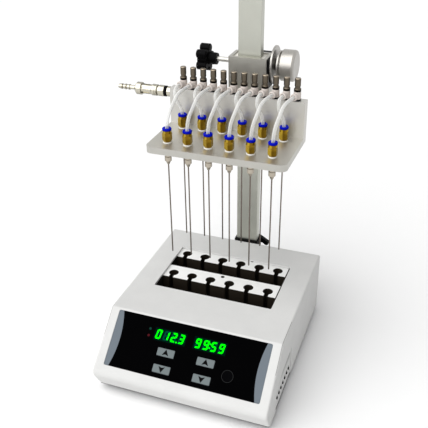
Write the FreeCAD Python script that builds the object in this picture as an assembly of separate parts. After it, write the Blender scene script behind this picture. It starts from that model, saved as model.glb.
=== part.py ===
import FreeCAD, Part
import math
import os

from FreeCAD import Placement, Rotation, Vector

# Nitrogen sample evaporator: a dry-bath base with a heated block of 12 tube wells, and a gas head
# with 12 needles on a rack-and-pinion carriage behind it. Millimetres, +Z up, front faces -Y.
# Origin: the middle of the base unit's footprint, on the plane under the feet.

# Base unit
HOUSING_WIDTH = 210.0
HOUSING_DEPTH = 247.0
HOUSING_TOP = 88.0
HOUSING_WALL = 2.5
CHIN_RUN = 58.5               # from the nose of the chin back to the front edge of the flat top
NOSE_RADIUS = 9.0
PANEL_TILT = 41.0             # slope of the control panel below the horizontal, degrees
TUCK_SETBACK = 15.0           # how far the chin goes back under itself at the bottom
EDGE_RADIUS = 2.4
FOOT_HEIGHT = 6.2
FOOT_RADIUS = 8.0
PAN_THICKNESS = 1.5
SEAM = 0.3                    # dark line between pan and cover

# Control panel, measured down the slope from the top's front edge
OVERLAY_WIDTH = 187.4
OVERLAY_START = 2.6
OVERLAY_LENGTH = 65.4
OVERLAY_THICKNESS = 1.0
OVERLAY_RECESS = 1.4
OVERLAY_CORNER = 2.0
DISPLAY_WIDTH = 39.2
DISPLAY_HEIGHT = 14.6
DISPLAY_OFFSET = 24.2         # centre of each display from the middle of the panel
DISPLAY_DOWN = 20.2
KEY_WIDTH = 20.8
KEY_HEIGHT = 8.9
KEY_OFFSET = 24.1
KEY_UP_DOWN = 39.0            # distance down the slope of the upper keys
KEY_LOW_DOWN = 57.9
KEY_TRAVEL = 0.5
START_KEY_RADIUS = 7.2
START_KEY_OFFSET = 52.2
START_KEY_DOWN = 47.9
LIGHT_RADIUS = 1.6
LIGHT_OFFSET = 50.0
LIGHT_DOWN = (16.1, 23.9)
KEY_GAP = 0.3

# Heating block
WINDOW_WIDTH = 150.2
WINDOW_DEPTH = 92.6
WINDOW_FRONT = 55.0           # back from the top's front edge
WELL_COUNT = 6
WELL_PITCH = 25.0
ROW_SPACING = 46.6
WELL_DIAMETER = 12.5
WELL_DEPTH = 40.0
SIGHT_SLOT = 5.6
BAR_DEPTH = 25.3
WELL_FROM_BAR_FRONT = 10.0
TROUGH_DEPTH = 37.0
BLOCK_WIDTH = 149.0
BLOCK_HEIGHT = 48.0
BLOCK_BEHIND_EDGE = 2.0       # the block starts this far behind the window's front edge
BLOCK_UNDER_COVER = 5.8       # and ends this far behind its rear edge, under the cover
BLOCK_BELOW_TOP = 3.0
THERMO_HOLE = 5.0
THERMO_BEHIND_ROW = 11.0
HEATER_THICKNESS = 6.0
TRAY_WALL = 4.0
TRAY_GAP = 0.5

# Stand
WORK_SHIFT = -1.8             # the block and the gas head stand left of the cover's middle
STAND_SHIFT = 1.8             # the column and its carriage stand right of it
COLUMN_WIDTH = 28.0
COLUMN_DEPTH = 12.0
COLUMN_GAP = 2.5              # from the rear of the housing to the column
COLUMN_FOOT = 16.0
COLUMN_TOP = 430.0
SOCKET_ABOVE_COVER = 2.4
RACK_MODULE = 1.0
PINION_TEETH = 12
PRESSURE_ANGLE = 20.0
RACK_WIDTH = 6.0
RACK_THICKNESS = 4.5
RACK_BACKLASH = 0.12

# Carriage
SLEEVE_WIDTH = 47.0
SLEEVE_DEPTH = 30.0
SLEEVE_HEIGHT = 60.5
SLEEVE_WALL = 4.0
SLEEVE_TOP = 344.8
LINER_HEIGHT = 13.5
LINER_RECESS = 1.5
SLIDE_FIT = 0.1
HANDWHEEL_Z = 332.5
LOCK_Z = 336.0
SHAFT_RADIUS = 4.0
SHAFT_FIT = 0.06

# Gas head
HEAD_WIDTH = 166.0
PLATE_THICKNESS = 8.0
PLATE_BOTTOM = 258.5
PLATE_FRONT_OF_ROW = 19.5     # from the front needle row forward to the plate's edge
PLATE_CORNER = 8.0
MANIFOLD_THICKNESS = 12.0
MANIFOLD_BEHIND_ROW = 11.9    # from the rear needle row back to the manifold's front face
MANIFOLD_TOP = 310.0
VALVE_PITCH = 12.6
VALVE_SHIFT = 2.4             # the row of valves stands this much right of the head's middle
GALLERY_DIAMETER = 5.0
COUPLER_BELOW_TOP = 7.0
NEEDLE_DIAMETER = 1.6
NEEDLE_TIP = 118.2
HUB_LENGTH = 19.8
TUBE_DIAMETER = 4.0
VALVE_TURN = 15.0             # the valves' tube ports look this much to the left of straight ahead

# Worked out from the sizes above
TOP_FRONT = CHIN_RUN - HOUSING_DEPTH / 2
HOUSING_REAR = HOUSING_DEPTH / 2
WINDOW_Y = TOP_FRONT + WINDOW_FRONT
COVER_BOTTOM = FOOT_HEIGHT + PAN_THICKNESS + SEAM
NOSE_Y = -HOUSING_DEPTH / 2 - NOSE_RADIUS / 3
NOSE_Z = HOUSING_TOP - (TOP_FRONT - NOSE_Y) * math.tan(math.radians(PANEL_TILT))
CHIN_Y = NOSE_Y + TUCK_SETBACK
BLOCK_FRONT = WINDOW_Y + BLOCK_BEHIND_EDGE
BLOCK_REAR = WINDOW_Y + WINDOW_DEPTH + BLOCK_UNDER_COVER
BLOCK_TOP = HOUSING_TOP - BLOCK_BELOW_TOP
REAR_ROW = BLOCK_REAR - BAR_DEPTH + WELL_FROM_BAR_FRONT
FRONT_ROW = REAR_ROW - ROW_SPACING
WELL_X = [(i - (WELL_COUNT - 1) / 2) * WELL_PITCH for i in range(WELL_COUNT)]
COLUMN_FRONT = HOUSING_REAR + COLUMN_GAP
COLUMN_MIDDLE = COLUMN_FRONT + COLUMN_DEPTH / 2
COLUMN_REAR = COLUMN_FRONT + COLUMN_DEPTH
PITCH_RADIUS = RACK_MODULE * PINION_TEETH / 2
PINION_Y = COLUMN_REAR - RACK_MODULE + PITCH_RADIUS
SLEEVE_FRONT = COLUMN_MIDDLE - SLEEVE_DEPTH / 2
SLEEVE_REAR = COLUMN_MIDDLE + SLEEVE_DEPTH / 2
PLATE_TOP = PLATE_BOTTOM + PLATE_THICKNESS
PLATE_FRONT = FRONT_ROW - PLATE_FRONT_OF_ROW
MANIFOLD_FRONT = REAR_ROW + MANIFOLD_BEHIND_ROW
MANIFOLD_REAR = MANIFOLD_FRONT + MANIFOLD_THICKNESS
VALVE_Y = MANIFOLD_FRONT + MANIFOLD_THICKNESS / 2
VALVE_X = [VALVE_SHIFT + (i - (2 * WELL_COUNT - 1) / 2) * VALVE_PITCH
           for i in range(2 * WELL_COUNT)]
COUPLER_Z = MANIFOLD_TOP - COUPLER_BELOW_TOP

X = Vector(1, 0, 0)
Y = Vector(0, 1, 0)
Z = Vector(0, 0, 1)


def save(name, *solids):
    """Writes one piece, or a group of like pieces, to its own file."""
    shape = solids[0] if len(solids) == 1 else Part.makeCompound(list(solids))
    if not shape.isValid():
        raise ValueError(name + " isn't a valid shape")
    shape.exportStep("parts/" + name + ".step")
    print(name, len(shape.Solids), round(shape.Volume))


def save_work(name, *solids):
    """Saves pieces of the block or the gas head, moved to their own middle plane."""
    save(name, *[shifted(solid, WORK_SHIFT) for solid in solids])


def save_stand(name, *solids):
    """Saves pieces of the stand or its carriage, moved to the column's middle plane."""
    save(name, *[shifted(solid, STAND_SHIFT) for solid in solids])


def shifted(solid, shift):
    moved = solid.copy()
    moved.translate(X * shift)
    return moved


def box(x0, x1, y0, y1, z0, z1):
    return Part.makeBox(x1 - x0, y1 - y0, z1 - z0, Vector(x0, y0, z0))


def rod(radius, start, end):
    """A round bar from one point to another."""
    start = Vector(*start)
    along = Vector(*end) - start
    return Part.makeCylinder(radius, along.Length, start, along)


def taper(radius_a, radius_b, start, end):
    start = Vector(*start)
    along = Vector(*end) - start
    return Part.makeCone(radius_a, radius_b, along.Length, start, along)


def polygon(points):
    vectors = [Vector(*p) for p in points]
    return Part.Face(Part.makePolygon(vectors + [vectors[0]]))


def rounded_box(x0, x1, y0, y1, z0, z1, radius):
    """A box whose four upright edges are rounded."""
    solid = box(x0, x1, y0, y1, z0, z1)
    upright = [e for e in solid.Edges if abs(e.tangentAt(e.FirstParameter).z) > 0.9]
    return solid.makeFillet(radius, upright)


def turned(profile, start, axis):
    """A turned piece: profile points are (radius, distance along the axis)."""
    face = polygon([(r, 0, d) for r, d in profile])
    solid = face.revolve(Vector(0, 0, 0), Z, 360)
    solid.Placement = Placement(Vector(*start), Rotation(Z, Vector(*axis)))
    return solid


def hex_bar(across_flats, z0, z1, x=0.0, y=0.0):
    corner = across_flats / 2 / math.cos(math.radians(30))
    angles = [math.radians(60 * i + 30) for i in range(6)]
    points = [(x + corner * math.cos(a), y + corner * math.sin(a), z0) for a in angles]
    return polygon(points).extrude(Vector(0, 0, z1 - z0))


def on_panel(shape):
    """Lays a piece on the slanted face: local Y runs up the slope, local Z stands out of it."""
    placed = shape.copy()
    seat = Placement(Vector(0, TOP_FRONT, HOUSING_TOP), Rotation(X, PANEL_TILT))
    placed.Placement = seat.multiply(placed.Placement)
    return placed


def star(radius, hub_radius, thickness, lobes, lobe_radius):
    """A lobed grip about the Z axis, from z = 0 up, with one lobe on the Y axis."""
    grip = Part.makeCylinder(hub_radius, thickness)
    reach = radius - lobe_radius
    for i in range(lobes):
        angle = 90.0 + 360.0 * i / lobes
        lobe = Part.makeCylinder(lobe_radius, thickness, Vector(reach, 0, 0))
        neck = box(0, reach, -lobe_radius * 0.62, lobe_radius * 0.62, 0, thickness)
        arm = lobe.fuse(neck)
        arm.rotate(Vector(0, 0, 0), Z, angle)
        grip = grip.fuse(arm)
    return grip.removeSplitter()


# Top cover

def cover_profile():
    """Side view of the cover: flat top, slanted panel, rounded nose and the chin tucked under."""
    corners = [
        (0, TOP_FRONT, HOUSING_TOP),
        (0, NOSE_Y, NOSE_Z),
        (0, CHIN_Y, COVER_BOTTOM),
        (0, HOUSING_REAR, COVER_BOTTOM),
        (0, HOUSING_REAR, HOUSING_TOP),
    ]
    return polygon(corners)


def make_cover():
    half = HOUSING_WIDTH / 2
    body = cover_profile().extrude(X * HOUSING_WIDTH)
    body.translate(Vector(-half, 0, 0))
    nose = [e for e in body.Edges if is_nose_edge(e)]
    body = body.makeFillet(NOSE_RADIUS, nose)
    floor = [f for f in body.Faces if abs(f.CenterOfMass.z - COVER_BOTTOM) < 0.01]
    shell = body.makeThickness(floor, -HOUSING_WALL, 1e-3)
    rims = [e for e in shell.Edges if is_outer_rim(e)]
    shell = shell.makeFillet(EDGE_RADIUS, rims)
    shell = shell.cut(rounded_box(-WINDOW_WIDTH / 2, WINDOW_WIDTH / 2, WINDOW_Y,
                                  WINDOW_Y + WINDOW_DEPTH, HOUSING_TOP - 2 * HOUSING_WALL,
                                  HOUSING_TOP + 1, 1.5))
    shell = shell.cut(panel_recess())
    shell = shell.cut(on_panel(board_opening()))
    shell = shell.fuse(board_posts())
    for side in (-1, 1):
        shell = shell.cut(side_scoop(side))
        shell = shell.fuse(scoop_backing(side))
        shell = shell.cut(vent_row(side))
    shell = shell.cut(inlet_cutout())
    for x, z in bracket_screw_places():
        hole = rod(SCREW_RADIUS + 0.05, (x, HOUSING_REAR - 4, z), (x, HOUSING_REAR + 1, z))
        shell = shell.cut(shifted(hole, STAND_SHIFT))
    return shell.removeSplitter()


def is_nose_edge(edge):
    middle = edge.CenterOfMass
    return abs(edge.tangentAt(edge.FirstParameter).x) > 0.9 and middle.y < TOP_FRONT - 5 and \
        middle.z > COVER_BOTTOM + 1


def is_outer_rim(edge):
    """The edges round both sides, the top's front edge and the rear's top edge."""
    middle = edge.CenterOfMass
    on_side = abs(abs(middle.x) - HOUSING_WIDTH / 2) < 0.01
    level = edge.BoundBox.ZMax < COVER_BOTTOM + 0.1
    crest = abs(middle.x) < 0.1 and abs(middle.z - HOUSING_TOP) < 0.01
    crest = crest and abs(edge.tangentAt(edge.FirstParameter).x) > 0.9
    return (on_side and not level) or crest


def panel_recess():
    half = OVERLAY_WIDTH / 2 + KEY_GAP / 2
    return on_panel(rounded_box(-half, half, -OVERLAY_START - OVERLAY_LENGTH - KEY_GAP / 2,
                                -OVERLAY_START + KEY_GAP / 2, -OVERLAY_RECESS, 4, OVERLAY_CORNER))


BOARD_HALF_WIDTH = 68.0
BOARD_START = 6.0
BOARD_LENGTH = 61.0
BOARD_DEPTH = 7.0             # from the panel's slope to the board's face
BOARD_THICKNESS = 1.6
BOARD_POST_RADIUS = 3.0
BOARD_POST_INSET = 4.0


def board_opening():
    reach = START_KEY_OFFSET + START_KEY_RADIUS + 2.2
    return rounded_box(-reach, reach, -OVERLAY_START - OVERLAY_LENGTH + 3, -9.5,
                       -HOUSING_WALL - 3, 0, 2)


def board_posts():
    """Four posts inside the slanted wall, which carry the control board."""
    posts = []
    for x in (-BOARD_HALF_WIDTH + BOARD_POST_INSET, BOARD_HALF_WIDTH - BOARD_POST_INSET):
        for down in (BOARD_START + BOARD_POST_INSET, BOARD_START + BOARD_LENGTH - BOARD_POST_INSET):
            posts.append(on_panel(rod(BOARD_POST_RADIUS, (x, -down, -BOARD_DEPTH),
                                      (x, -down, -HOUSING_WALL + 0.6))))
    return posts


SCOOP_DEPTH = 1.2
SCOOP_FRONT = TOP_FRONT - 23.0
SCOOP_REAR = TOP_FRONT + 43.5
SCOOP_TOP = HOUSING_TOP - 38.8
VENT_COUNT = 7
VENT_PITCH = 8.4
VENT_RADIUS = 1.65
VENT_HEIGHT = HOUSING_TOP - 64.3
VENT_FIRST = TOP_FRONT - 14.3


def side_scoop(side):
    """The shallow recess low in each side, with its upper edge sloping down to the front."""
    outer = side * HOUSING_WIDTH / 2
    points = [
        (outer, SCOOP_REAR, COVER_BOTTOM - 1),
        (outer, SCOOP_REAR, SCOOP_TOP),
        (outer, SCOOP_FRONT + 25, SCOOP_TOP - 2.4),
        (outer, SCOOP_FRONT + 5.5, SCOOP_TOP - 9.3),
        (outer, SCOOP_FRONT, SCOOP_TOP - 17),
        (outer, SCOOP_FRONT, COVER_BOTTOM - 1),
    ]
    cutter = polygon(points).extrude(X * (-side * SCOOP_DEPTH))
    outside = polygon(points).extrude(X * (side * 1.0))
    return cutter.fuse(outside)


def scoop_backing(side):
    """Thickens the wall behind the scoop, so that it stays as strong as the rest."""
    inner = side * (HOUSING_WIDTH / 2 - HOUSING_WALL - SCOOP_DEPTH)
    skin = side * (HOUSING_WIDTH / 2 - HOUSING_WALL)
    x0, x1 = sorted((inner, skin))
    return box(x0, x1, SCOOP_FRONT + 8, SCOOP_REAR + 2, COVER_BOTTOM + 4, SCOOP_TOP - 8)


def vent_row(side):
    holes = []
    for i in range(VENT_COUNT):
        y = VENT_FIRST + i * VENT_PITCH
        inner = side * (HOUSING_WIDTH / 2 - 3 * HOUSING_WALL)
        outer = side * (HOUSING_WIDTH / 2 + 1)
        holes.append(rod(VENT_RADIUS, (inner, y, VENT_HEIGHT), (outer, y, VENT_HEIGHT)))
    return holes


# Power inlet on the rear wall

INLET_X = -70.0
INLET_Z = 46.0
INLET_WIDTH = 27.0
INLET_HEIGHT = 47.0
INLET_DEPTH = 24.0
INLET_FLANGE = 4.0
INLET_FLANGE_THICKNESS = 2.5
INLET_FIT = 0.2
SOCKET_WIDTH = 23.6
SOCKET_HEIGHT = 15.6
SOCKET_DEPTH = 16.0
SOCKET_DROP = 12.0            # socket centre below the inlet's centre
ROCKER_RISE = 12.5
ROCKER_WIDTH = 18.0
ROCKER_HEIGHT = 12.0
ROCKER_FIT = 0.4
ROCKER_TILT = 8.0


def inlet_cutout():
    half_w = INLET_WIDTH / 2 + INLET_FIT
    half_h = INLET_HEIGHT / 2 + INLET_FIT
    return box(INLET_X - half_w, INLET_X + half_w, HOUSING_REAR - HOUSING_WALL - 1,
               HOUSING_REAR + 1, INLET_Z - half_h, INLET_Z + half_h)


def make_inlet():
    face = HOUSING_REAR + INLET_FLANGE_THICKNESS
    body = box(INLET_X - INLET_WIDTH / 2, INLET_X + INLET_WIDTH / 2, HOUSING_REAR - INLET_DEPTH,
               HOUSING_REAR, INLET_Z - INLET_HEIGHT / 2, INLET_Z + INLET_HEIGHT / 2)
    reach_w = INLET_WIDTH / 2 + INLET_FLANGE
    reach_h = INLET_HEIGHT / 2 + INLET_FLANGE
    flange = box(INLET_X - reach_w, INLET_X + reach_w, HOUSING_REAR, face,
                 INLET_Z - reach_h, INLET_Z + reach_h)
    rims = [e for e in flange.Edges if abs(e.tangentAt(e.FirstParameter).y) > 0.9]
    body = body.fuse(flange.makeFillet(3.0, rims))
    body = body.cut(socket_cavity(face))
    body = body.cut(rocker_well(face))
    body = body.cut(fuse_drawer_groove(face))
    body = body.fuse(socket_pins(face))
    return body.removeSplitter()


def socket_cavity(face):
    """The six-sided hollow of a standard mains inlet."""
    z = INLET_Z - SOCKET_DROP
    half_w = SOCKET_WIDTH / 2
    half_h = SOCKET_HEIGHT / 2
    bevel = 4.5
    points = [(-half_w, -half_h), (half_w, -half_h), (half_w, half_h - bevel),
              (half_w - bevel, half_h), (-half_w + bevel, half_h), (-half_w, half_h - bevel)]
    outline = polygon([(INLET_X + px, face + 1, z + pz) for px, pz in points])
    return outline.extrude(Y * -(SOCKET_DEPTH + 1))


def socket_pins(face):
    z = INLET_Z - SOCKET_DROP
    back = face - SOCKET_DEPTH
    pins = []
    for dx, dz in ((-7.0, 0.6), (7.0, 0.6), (0.0, 4.0)):
        pins.append(box(INLET_X + dx - 1.0, INLET_X + dx + 1.0, back - 1, face - 4,
                        z + dz - 1.9, z + dz + 1.9))
    return pins


def rocker_well(face):
    half_w = ROCKER_WIDTH / 2 + ROCKER_FIT
    half_h = ROCKER_HEIGHT / 2 + ROCKER_FIT
    z = INLET_Z + ROCKER_RISE
    return box(INLET_X - half_w, INLET_X + half_w, face - 12, face + 1, z - half_h, z + half_h)


def fuse_drawer_groove(face):
    """The parting line of the fuse drawer between the socket and the switch."""
    drawer_z = INLET_Z + 1.2
    outer = box(INLET_X - 11, INLET_X + 11, face - 0.8, face + 1, drawer_z - 3.2, drawer_z + 3.2)
    inner = box(INLET_X - 10.3, INLET_X + 10.3, face - 2, face + 2, drawer_z - 2.5, drawer_z + 2.5)
    return outer.cut(inner)


def make_rocker():
    """The rocker is a paddle with two flats that meet over its pivot."""
    face = HOUSING_REAR + INLET_FLANGE_THICKNESS
    pivot_y = face - 5.0
    half_h = ROCKER_HEIGHT / 2 - 0.7
    points = [(0, pivot_y - 3, -half_h * 0.55), (0, pivot_y - 3, half_h * 0.55),
              (0, pivot_y + 4, half_h), (0, face + 2.4, half_h - 0.4), (0, face + 1.0, 0),
              (0, face + 2.4, -half_h + 0.4), (0, pivot_y + 4, -half_h)]
    paddle = polygon(points).extrude(X * ROCKER_WIDTH)
    paddle.translate(Vector(INLET_X - ROCKER_WIDTH / 2, 0, INLET_Z + ROCKER_RISE))
    pivot = Vector(INLET_X, pivot_y, INLET_Z + ROCKER_RISE)
    paddle.rotate(pivot, X, -ROCKER_TILT)
    return paddle


# Base pan, feet and screws

PAN_INSET = 0.4               # the pan's flange stands this far inside the cover's wall
FOOT_INSET = 20.0
SCREW_HEAD_RADIUS = 3.4
SCREW_HEAD_HEIGHT = 2.4
SCREW_RADIUS = 1.9


def foot_places():
    front = -HOUSING_DEPTH / 2 + FOOT_INSET + 12
    rear = HOUSING_REAR - FOOT_INSET
    side = HOUSING_WIDTH / 2 - FOOT_INSET
    return [(x, y) for x in (-side, side) for y in (front, rear)]


def make_pan():
    """A folded sheet-metal floor; its edge shows below the cover as a thin dark line."""
    half = HOUSING_WIDTH / 2 - 1.0
    floor = box(-half, half, CHIN_Y + 1.0, HOUSING_REAR - 1.0,
                FOOT_HEIGHT, FOOT_HEIGHT + PAN_THICKNESS)
    inner_half = HOUSING_WIDTH / 2 - HOUSING_WALL - PAN_INSET
    y0 = CHIN_Y + HOUSING_WALL + 0.8
    y1 = HOUSING_REAR - HOUSING_WALL - PAN_INSET
    top = FOOT_HEIGHT + 20
    flange = box(-inner_half, inner_half, y0, y1, FOOT_HEIGHT, COVER_BOTTOM + 3.5)
    flange = flange.cut(box(-inner_half + PAN_THICKNESS, inner_half - PAN_THICKNESS,
                            y0 + PAN_THICKNESS, y1 - PAN_THICKNESS, FOOT_HEIGHT - 1, top))
    pan = floor.fuse(flange)
    for x, y in foot_places():
        pan = pan.cut(rod(SCREW_RADIUS + 0.2, (x, y, 0), (x, y, top)))
    for i in range(9):
        x = (i - 4) * 9.0
        pan = pan.cut(box(x - 1.6, x + 1.6, 10, 50, FOOT_HEIGHT - 1, top))
    return pan.removeSplitter()


def make_feet():
    feet = []
    for x, y in foot_places():
        profile = [(SCREW_RADIUS + 0.2, 3.4), (SCREW_HEAD_RADIUS + 0.5, 3.4),
                   (SCREW_HEAD_RADIUS + 0.5, 0), (FOOT_RADIUS - 1.2, 0), (FOOT_RADIUS, 1.2),
                   (FOOT_RADIUS, FOOT_HEIGHT), (SCREW_RADIUS + 0.2, FOOT_HEIGHT)]
        feet.append(turned(profile, (x, y, 0), (0, 0, 1)))
    return feet


def foot_screws():
    screws = []
    for x, y in foot_places():
        head = rod(SCREW_HEAD_RADIUS, (x, y, 3.4 - SCREW_HEAD_HEIGHT), (x, y, 3.4))
        shank = rod(SCREW_RADIUS, (x, y, 3.4), (x, y, FOOT_HEIGHT + PAN_THICKNESS + 4))
        screws.append(head.fuse(shank))
    return screws


# Panel overlay, windows, keys and board

KEYS = {
    "key_temperature_up": (-KEY_OFFSET, KEY_UP_DOWN),
    "key_temperature_down": (-KEY_OFFSET, KEY_LOW_DOWN),
    "key_time_up": (KEY_OFFSET, KEY_UP_DOWN),
    "key_time_down": (KEY_OFFSET, KEY_LOW_DOWN),
}


def make_overlay():
    top = -OVERLAY_RECESS + OVERLAY_THICKNESS
    half = OVERLAY_WIDTH / 2
    film = rounded_box(-half, half, -OVERLAY_START - OVERLAY_LENGTH, -OVERLAY_START,
                       -OVERLAY_RECESS, top, OVERLAY_CORNER)
    for x in (-DISPLAY_OFFSET, DISPLAY_OFFSET):
        film = film.cut(window_block(x, 0.05, -OVERLAY_RECESS - 1, top + 1))
    for x, down in KEYS.values():
        film = film.cut(key_block(x, down, KEY_GAP, -OVERLAY_RECESS - 1, top + 1))
    film = film.cut(rod(START_KEY_RADIUS + KEY_GAP, (START_KEY_OFFSET, -START_KEY_DOWN, -4),
                        (START_KEY_OFFSET, -START_KEY_DOWN, 2)))
    for down in LIGHT_DOWN:
        film = film.cut(rod(LIGHT_RADIUS + 0.05, (-LIGHT_OFFSET, -down, -4),
                            (-LIGHT_OFFSET, -down, 2)))
    return on_panel(film)


def window_block(x, grow, z0, z1):
    half_w = DISPLAY_WIDTH / 2 + grow
    half_h = DISPLAY_HEIGHT / 2 + grow
    return box(x - half_w, x + half_w, -DISPLAY_DOWN - half_h, -DISPLAY_DOWN + half_h, z0, z1)


def key_block(x, down, grow, z0, z1):
    half_w = KEY_WIDTH / 2 + grow
    half_h = KEY_HEIGHT / 2 + grow
    return rounded_box(x - half_w, x + half_w, -down - half_h, -down + half_h, z0, z1, 0.8 + grow)


KEY_CAP_TOP = 0.1
KEY_FLANGE_TOP = -OVERLAY_RECESS - 0.1
KEY_FLANGE_THICKNESS = 0.9
KEY_FLANGE_REACH = 0.9


def make_key(x, down):
    """A key cap with a rim under the overlay and a plunger down to its switch."""
    cap = key_block(x, down, 0, KEY_FLANGE_TOP - 0.5, KEY_CAP_TOP)
    rim = key_block(x, down, KEY_FLANGE_REACH, KEY_FLANGE_TOP - KEY_FLANGE_THICKNESS,
                    KEY_FLANGE_TOP)
    top = [e for e in cap.Edges if e.BoundBox.ZMin > KEY_CAP_TOP - 0.01]
    return on_panel(cap.makeChamfer(0.3, top).fuse(rim).removeSplitter())


def make_start_key():
    seat = (START_KEY_OFFSET, -START_KEY_DOWN, KEY_FLANGE_TOP - KEY_FLANGE_THICKNESS)
    r = START_KEY_RADIUS
    height = KEY_CAP_TOP - seat[2]
    profile = [(0, 0), (r + KEY_FLANGE_REACH, 0), (r + KEY_FLANGE_REACH, KEY_FLANGE_THICKNESS),
               (r, KEY_FLANGE_THICKNESS), (r, height - 0.4), (r - 0.4, height), (r - 1.2, height),
               (r - 1.6, height - 0.3), (0, height - 0.5)]
    return on_panel(turned(profile, seat, (0, 0, 1)))


def make_windows():
    top = -OVERLAY_RECESS + OVERLAY_THICKNESS - 0.1
    lenses = [on_panel(window_block(x, 0, -OVERLAY_RECESS, top))
              for x in (-DISPLAY_OFFSET, DISPLAY_OFFSET)]
    for down in LIGHT_DOWN:
        profile = [(0, -3.2), (LIGHT_RADIUS, -3.2), (LIGHT_RADIUS, -0.5), (0, -0.1)]
        lenses.append(on_panel(turned(profile, (-LIGHT_OFFSET, -down, 0), (0, 0, 1))))
    return lenses


def make_board():
    """The control board with its display modules, tact switches and two lamps."""
    face = -BOARD_DEPTH
    board = box(-BOARD_HALF_WIDTH, BOARD_HALF_WIDTH, -BOARD_START - BOARD_LENGTH, -BOARD_START,
                face - BOARD_THICKNESS, face)
    pieces = [on_panel(board)]
    for x in (-DISPLAY_OFFSET, DISPLAY_OFFSET):
        pieces.append(on_panel(window_block(x, -0.2, face, -OVERLAY_RECESS - 0.1)))
    places = list(KEYS.values()) + [(START_KEY_OFFSET, START_KEY_DOWN)]
    stop = KEY_FLANGE_TOP - KEY_FLANGE_THICKNESS - KEY_TRAVEL - 0.1
    for x, down in places:
        can = box(x - 3, x + 3, -down - 3, -down + 3, face, face + 2.6)
        plunger = rod(1.75, (x, -down, face + 2.6), (x, -down, stop))
        pieces.append(on_panel(can.fuse(plunger)))
    for down in LIGHT_DOWN:
        pieces.append(on_panel(rod(1.4, (-LIGHT_OFFSET, -down, face), (-LIGHT_OFFSET, -down, -3.4))))
    return pieces


# Heating block and what carries it

def make_block():
    """Two drilled bars on one base, with a sight trough in front of each row of wells."""
    half = BLOCK_WIDTH / 2
    block = box(-half, half, BLOCK_FRONT, BLOCK_REAR, BLOCK_TOP - BLOCK_HEIGHT, BLOCK_TOP)
    floor = BLOCK_TOP - TROUGH_DEPTH
    for row, trough_front in ((FRONT_ROW, BLOCK_FRONT - 1),
                              (REAR_ROW, FRONT_ROW - WELL_FROM_BAR_FRONT + BAR_DEPTH)):
        bar_front = row - WELL_FROM_BAR_FRONT
        block = block.cut(box(-half - 1, half + 1, trough_front, bar_front, floor, BLOCK_TOP + 1))
        cuts = []
        for x in WELL_X:
            cuts.append(rod(WELL_DIAMETER / 2, (x, row, BLOCK_TOP - WELL_DEPTH),
                            (x, row, BLOCK_TOP + 1)))
            cuts.append(box(x - SIGHT_SLOT / 2, x + SIGHT_SLOT / 2, bar_front - 1, row,
                            floor, BLOCK_TOP + 1))
        block = block.cut(cuts)
    for x, row in ((WELL_PITCH, REAR_ROW), (0.0, FRONT_ROW)):
        y = row + THERMO_BEHIND_ROW
        block = block.cut(rod(THERMO_HOLE / 2, (x, y, floor), (x, y, BLOCK_TOP + 1)))
    probe_y = REAR_ROW - WELL_FROM_BAR_FRONT - 12
    block = block.cut(rod(PROBE_RADIUS + 0.1, (half - PROBE_REACH, probe_y, PROBE_Z),
                          (half + 1, probe_y, PROBE_Z)))
    return block.removeSplitter()


PROBE_RADIUS = 2.0
PROBE_REACH = 40.0
PROBE_Z = BLOCK_TOP - BLOCK_HEIGHT + 5.0


def make_probe():
    """The block's temperature probe, pushed into the base of the block from its right end."""
    y = REAR_ROW - WELL_FROM_BAR_FRONT - 12
    end = BLOCK_WIDTH / 2
    sheath = rod(PROBE_RADIUS, (end - PROBE_REACH, y, PROBE_Z), (end + 12, y, PROBE_Z))
    collar = rod(PROBE_RADIUS + 1.4, (end + 6, y, PROBE_Z), (end + 12, y, PROBE_Z))
    return sheath.fuse(collar)


def make_heater():
    half = BLOCK_WIDTH / 2 - 3
    z1 = BLOCK_TOP - BLOCK_HEIGHT
    heater = box(-half, half, BLOCK_FRONT + 3, BLOCK_REAR - 3, z1 - HEATER_THICKNESS, z1)
    terminals = []
    for x in (-12.0, 12.0):
        terminals.append(rod(2.0, (x, BLOCK_FRONT + 9, z1 - HEATER_THICKNESS - 6),
                             (x, BLOCK_FRONT + 9, z1 - HEATER_THICKNESS)))
    return heater.fuse(terminals)


def make_tray():
    """The heat-proof cup that holds block and heater away from the cover, on four legs."""
    inner_half = BLOCK_WIDTH / 2 + TRAY_GAP
    y0 = BLOCK_FRONT - TRAY_GAP
    y1 = BLOCK_REAR + TRAY_GAP
    floor = BLOCK_TOP - BLOCK_HEIGHT - HEATER_THICKNESS
    top = HOUSING_TOP - HOUSING_WALL - 0.3
    outer = box(-inner_half - TRAY_WALL, inner_half + TRAY_WALL, y0 - TRAY_WALL, y1 + TRAY_WALL,
                floor - TRAY_WALL, top)
    tray = outer.cut(box(-inner_half, inner_half, y0, y1, floor, top + 1))
    for x in (-12.0, 12.0):
        tray = tray.cut(rod(2.6, (x, BLOCK_FRONT + 9, floor - TRAY_WALL - 1),
                            (x, BLOCK_FRONT + 9, floor + 1)))
    probe_y = REAR_ROW - WELL_FROM_BAR_FRONT - 12
    tray = tray.cut(rod(PROBE_RADIUS + 0.4, (0, probe_y, PROBE_Z),
                        (inner_half + TRAY_WALL + 1, probe_y, PROBE_Z)).cut(
                            box(-1, inner_half - 1, y0, y1, floor, top)))
    legs = []
    for x in (-inner_half + 4, inner_half - 4):
        for y in (y0 + 4, y1 - 4):
            legs.append(rod(5.0, (x, y, FOOT_HEIGHT + PAN_THICKNESS), (x, y, floor - TRAY_WALL + 1)))
    return tray.fuse(legs).removeSplitter()


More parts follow.
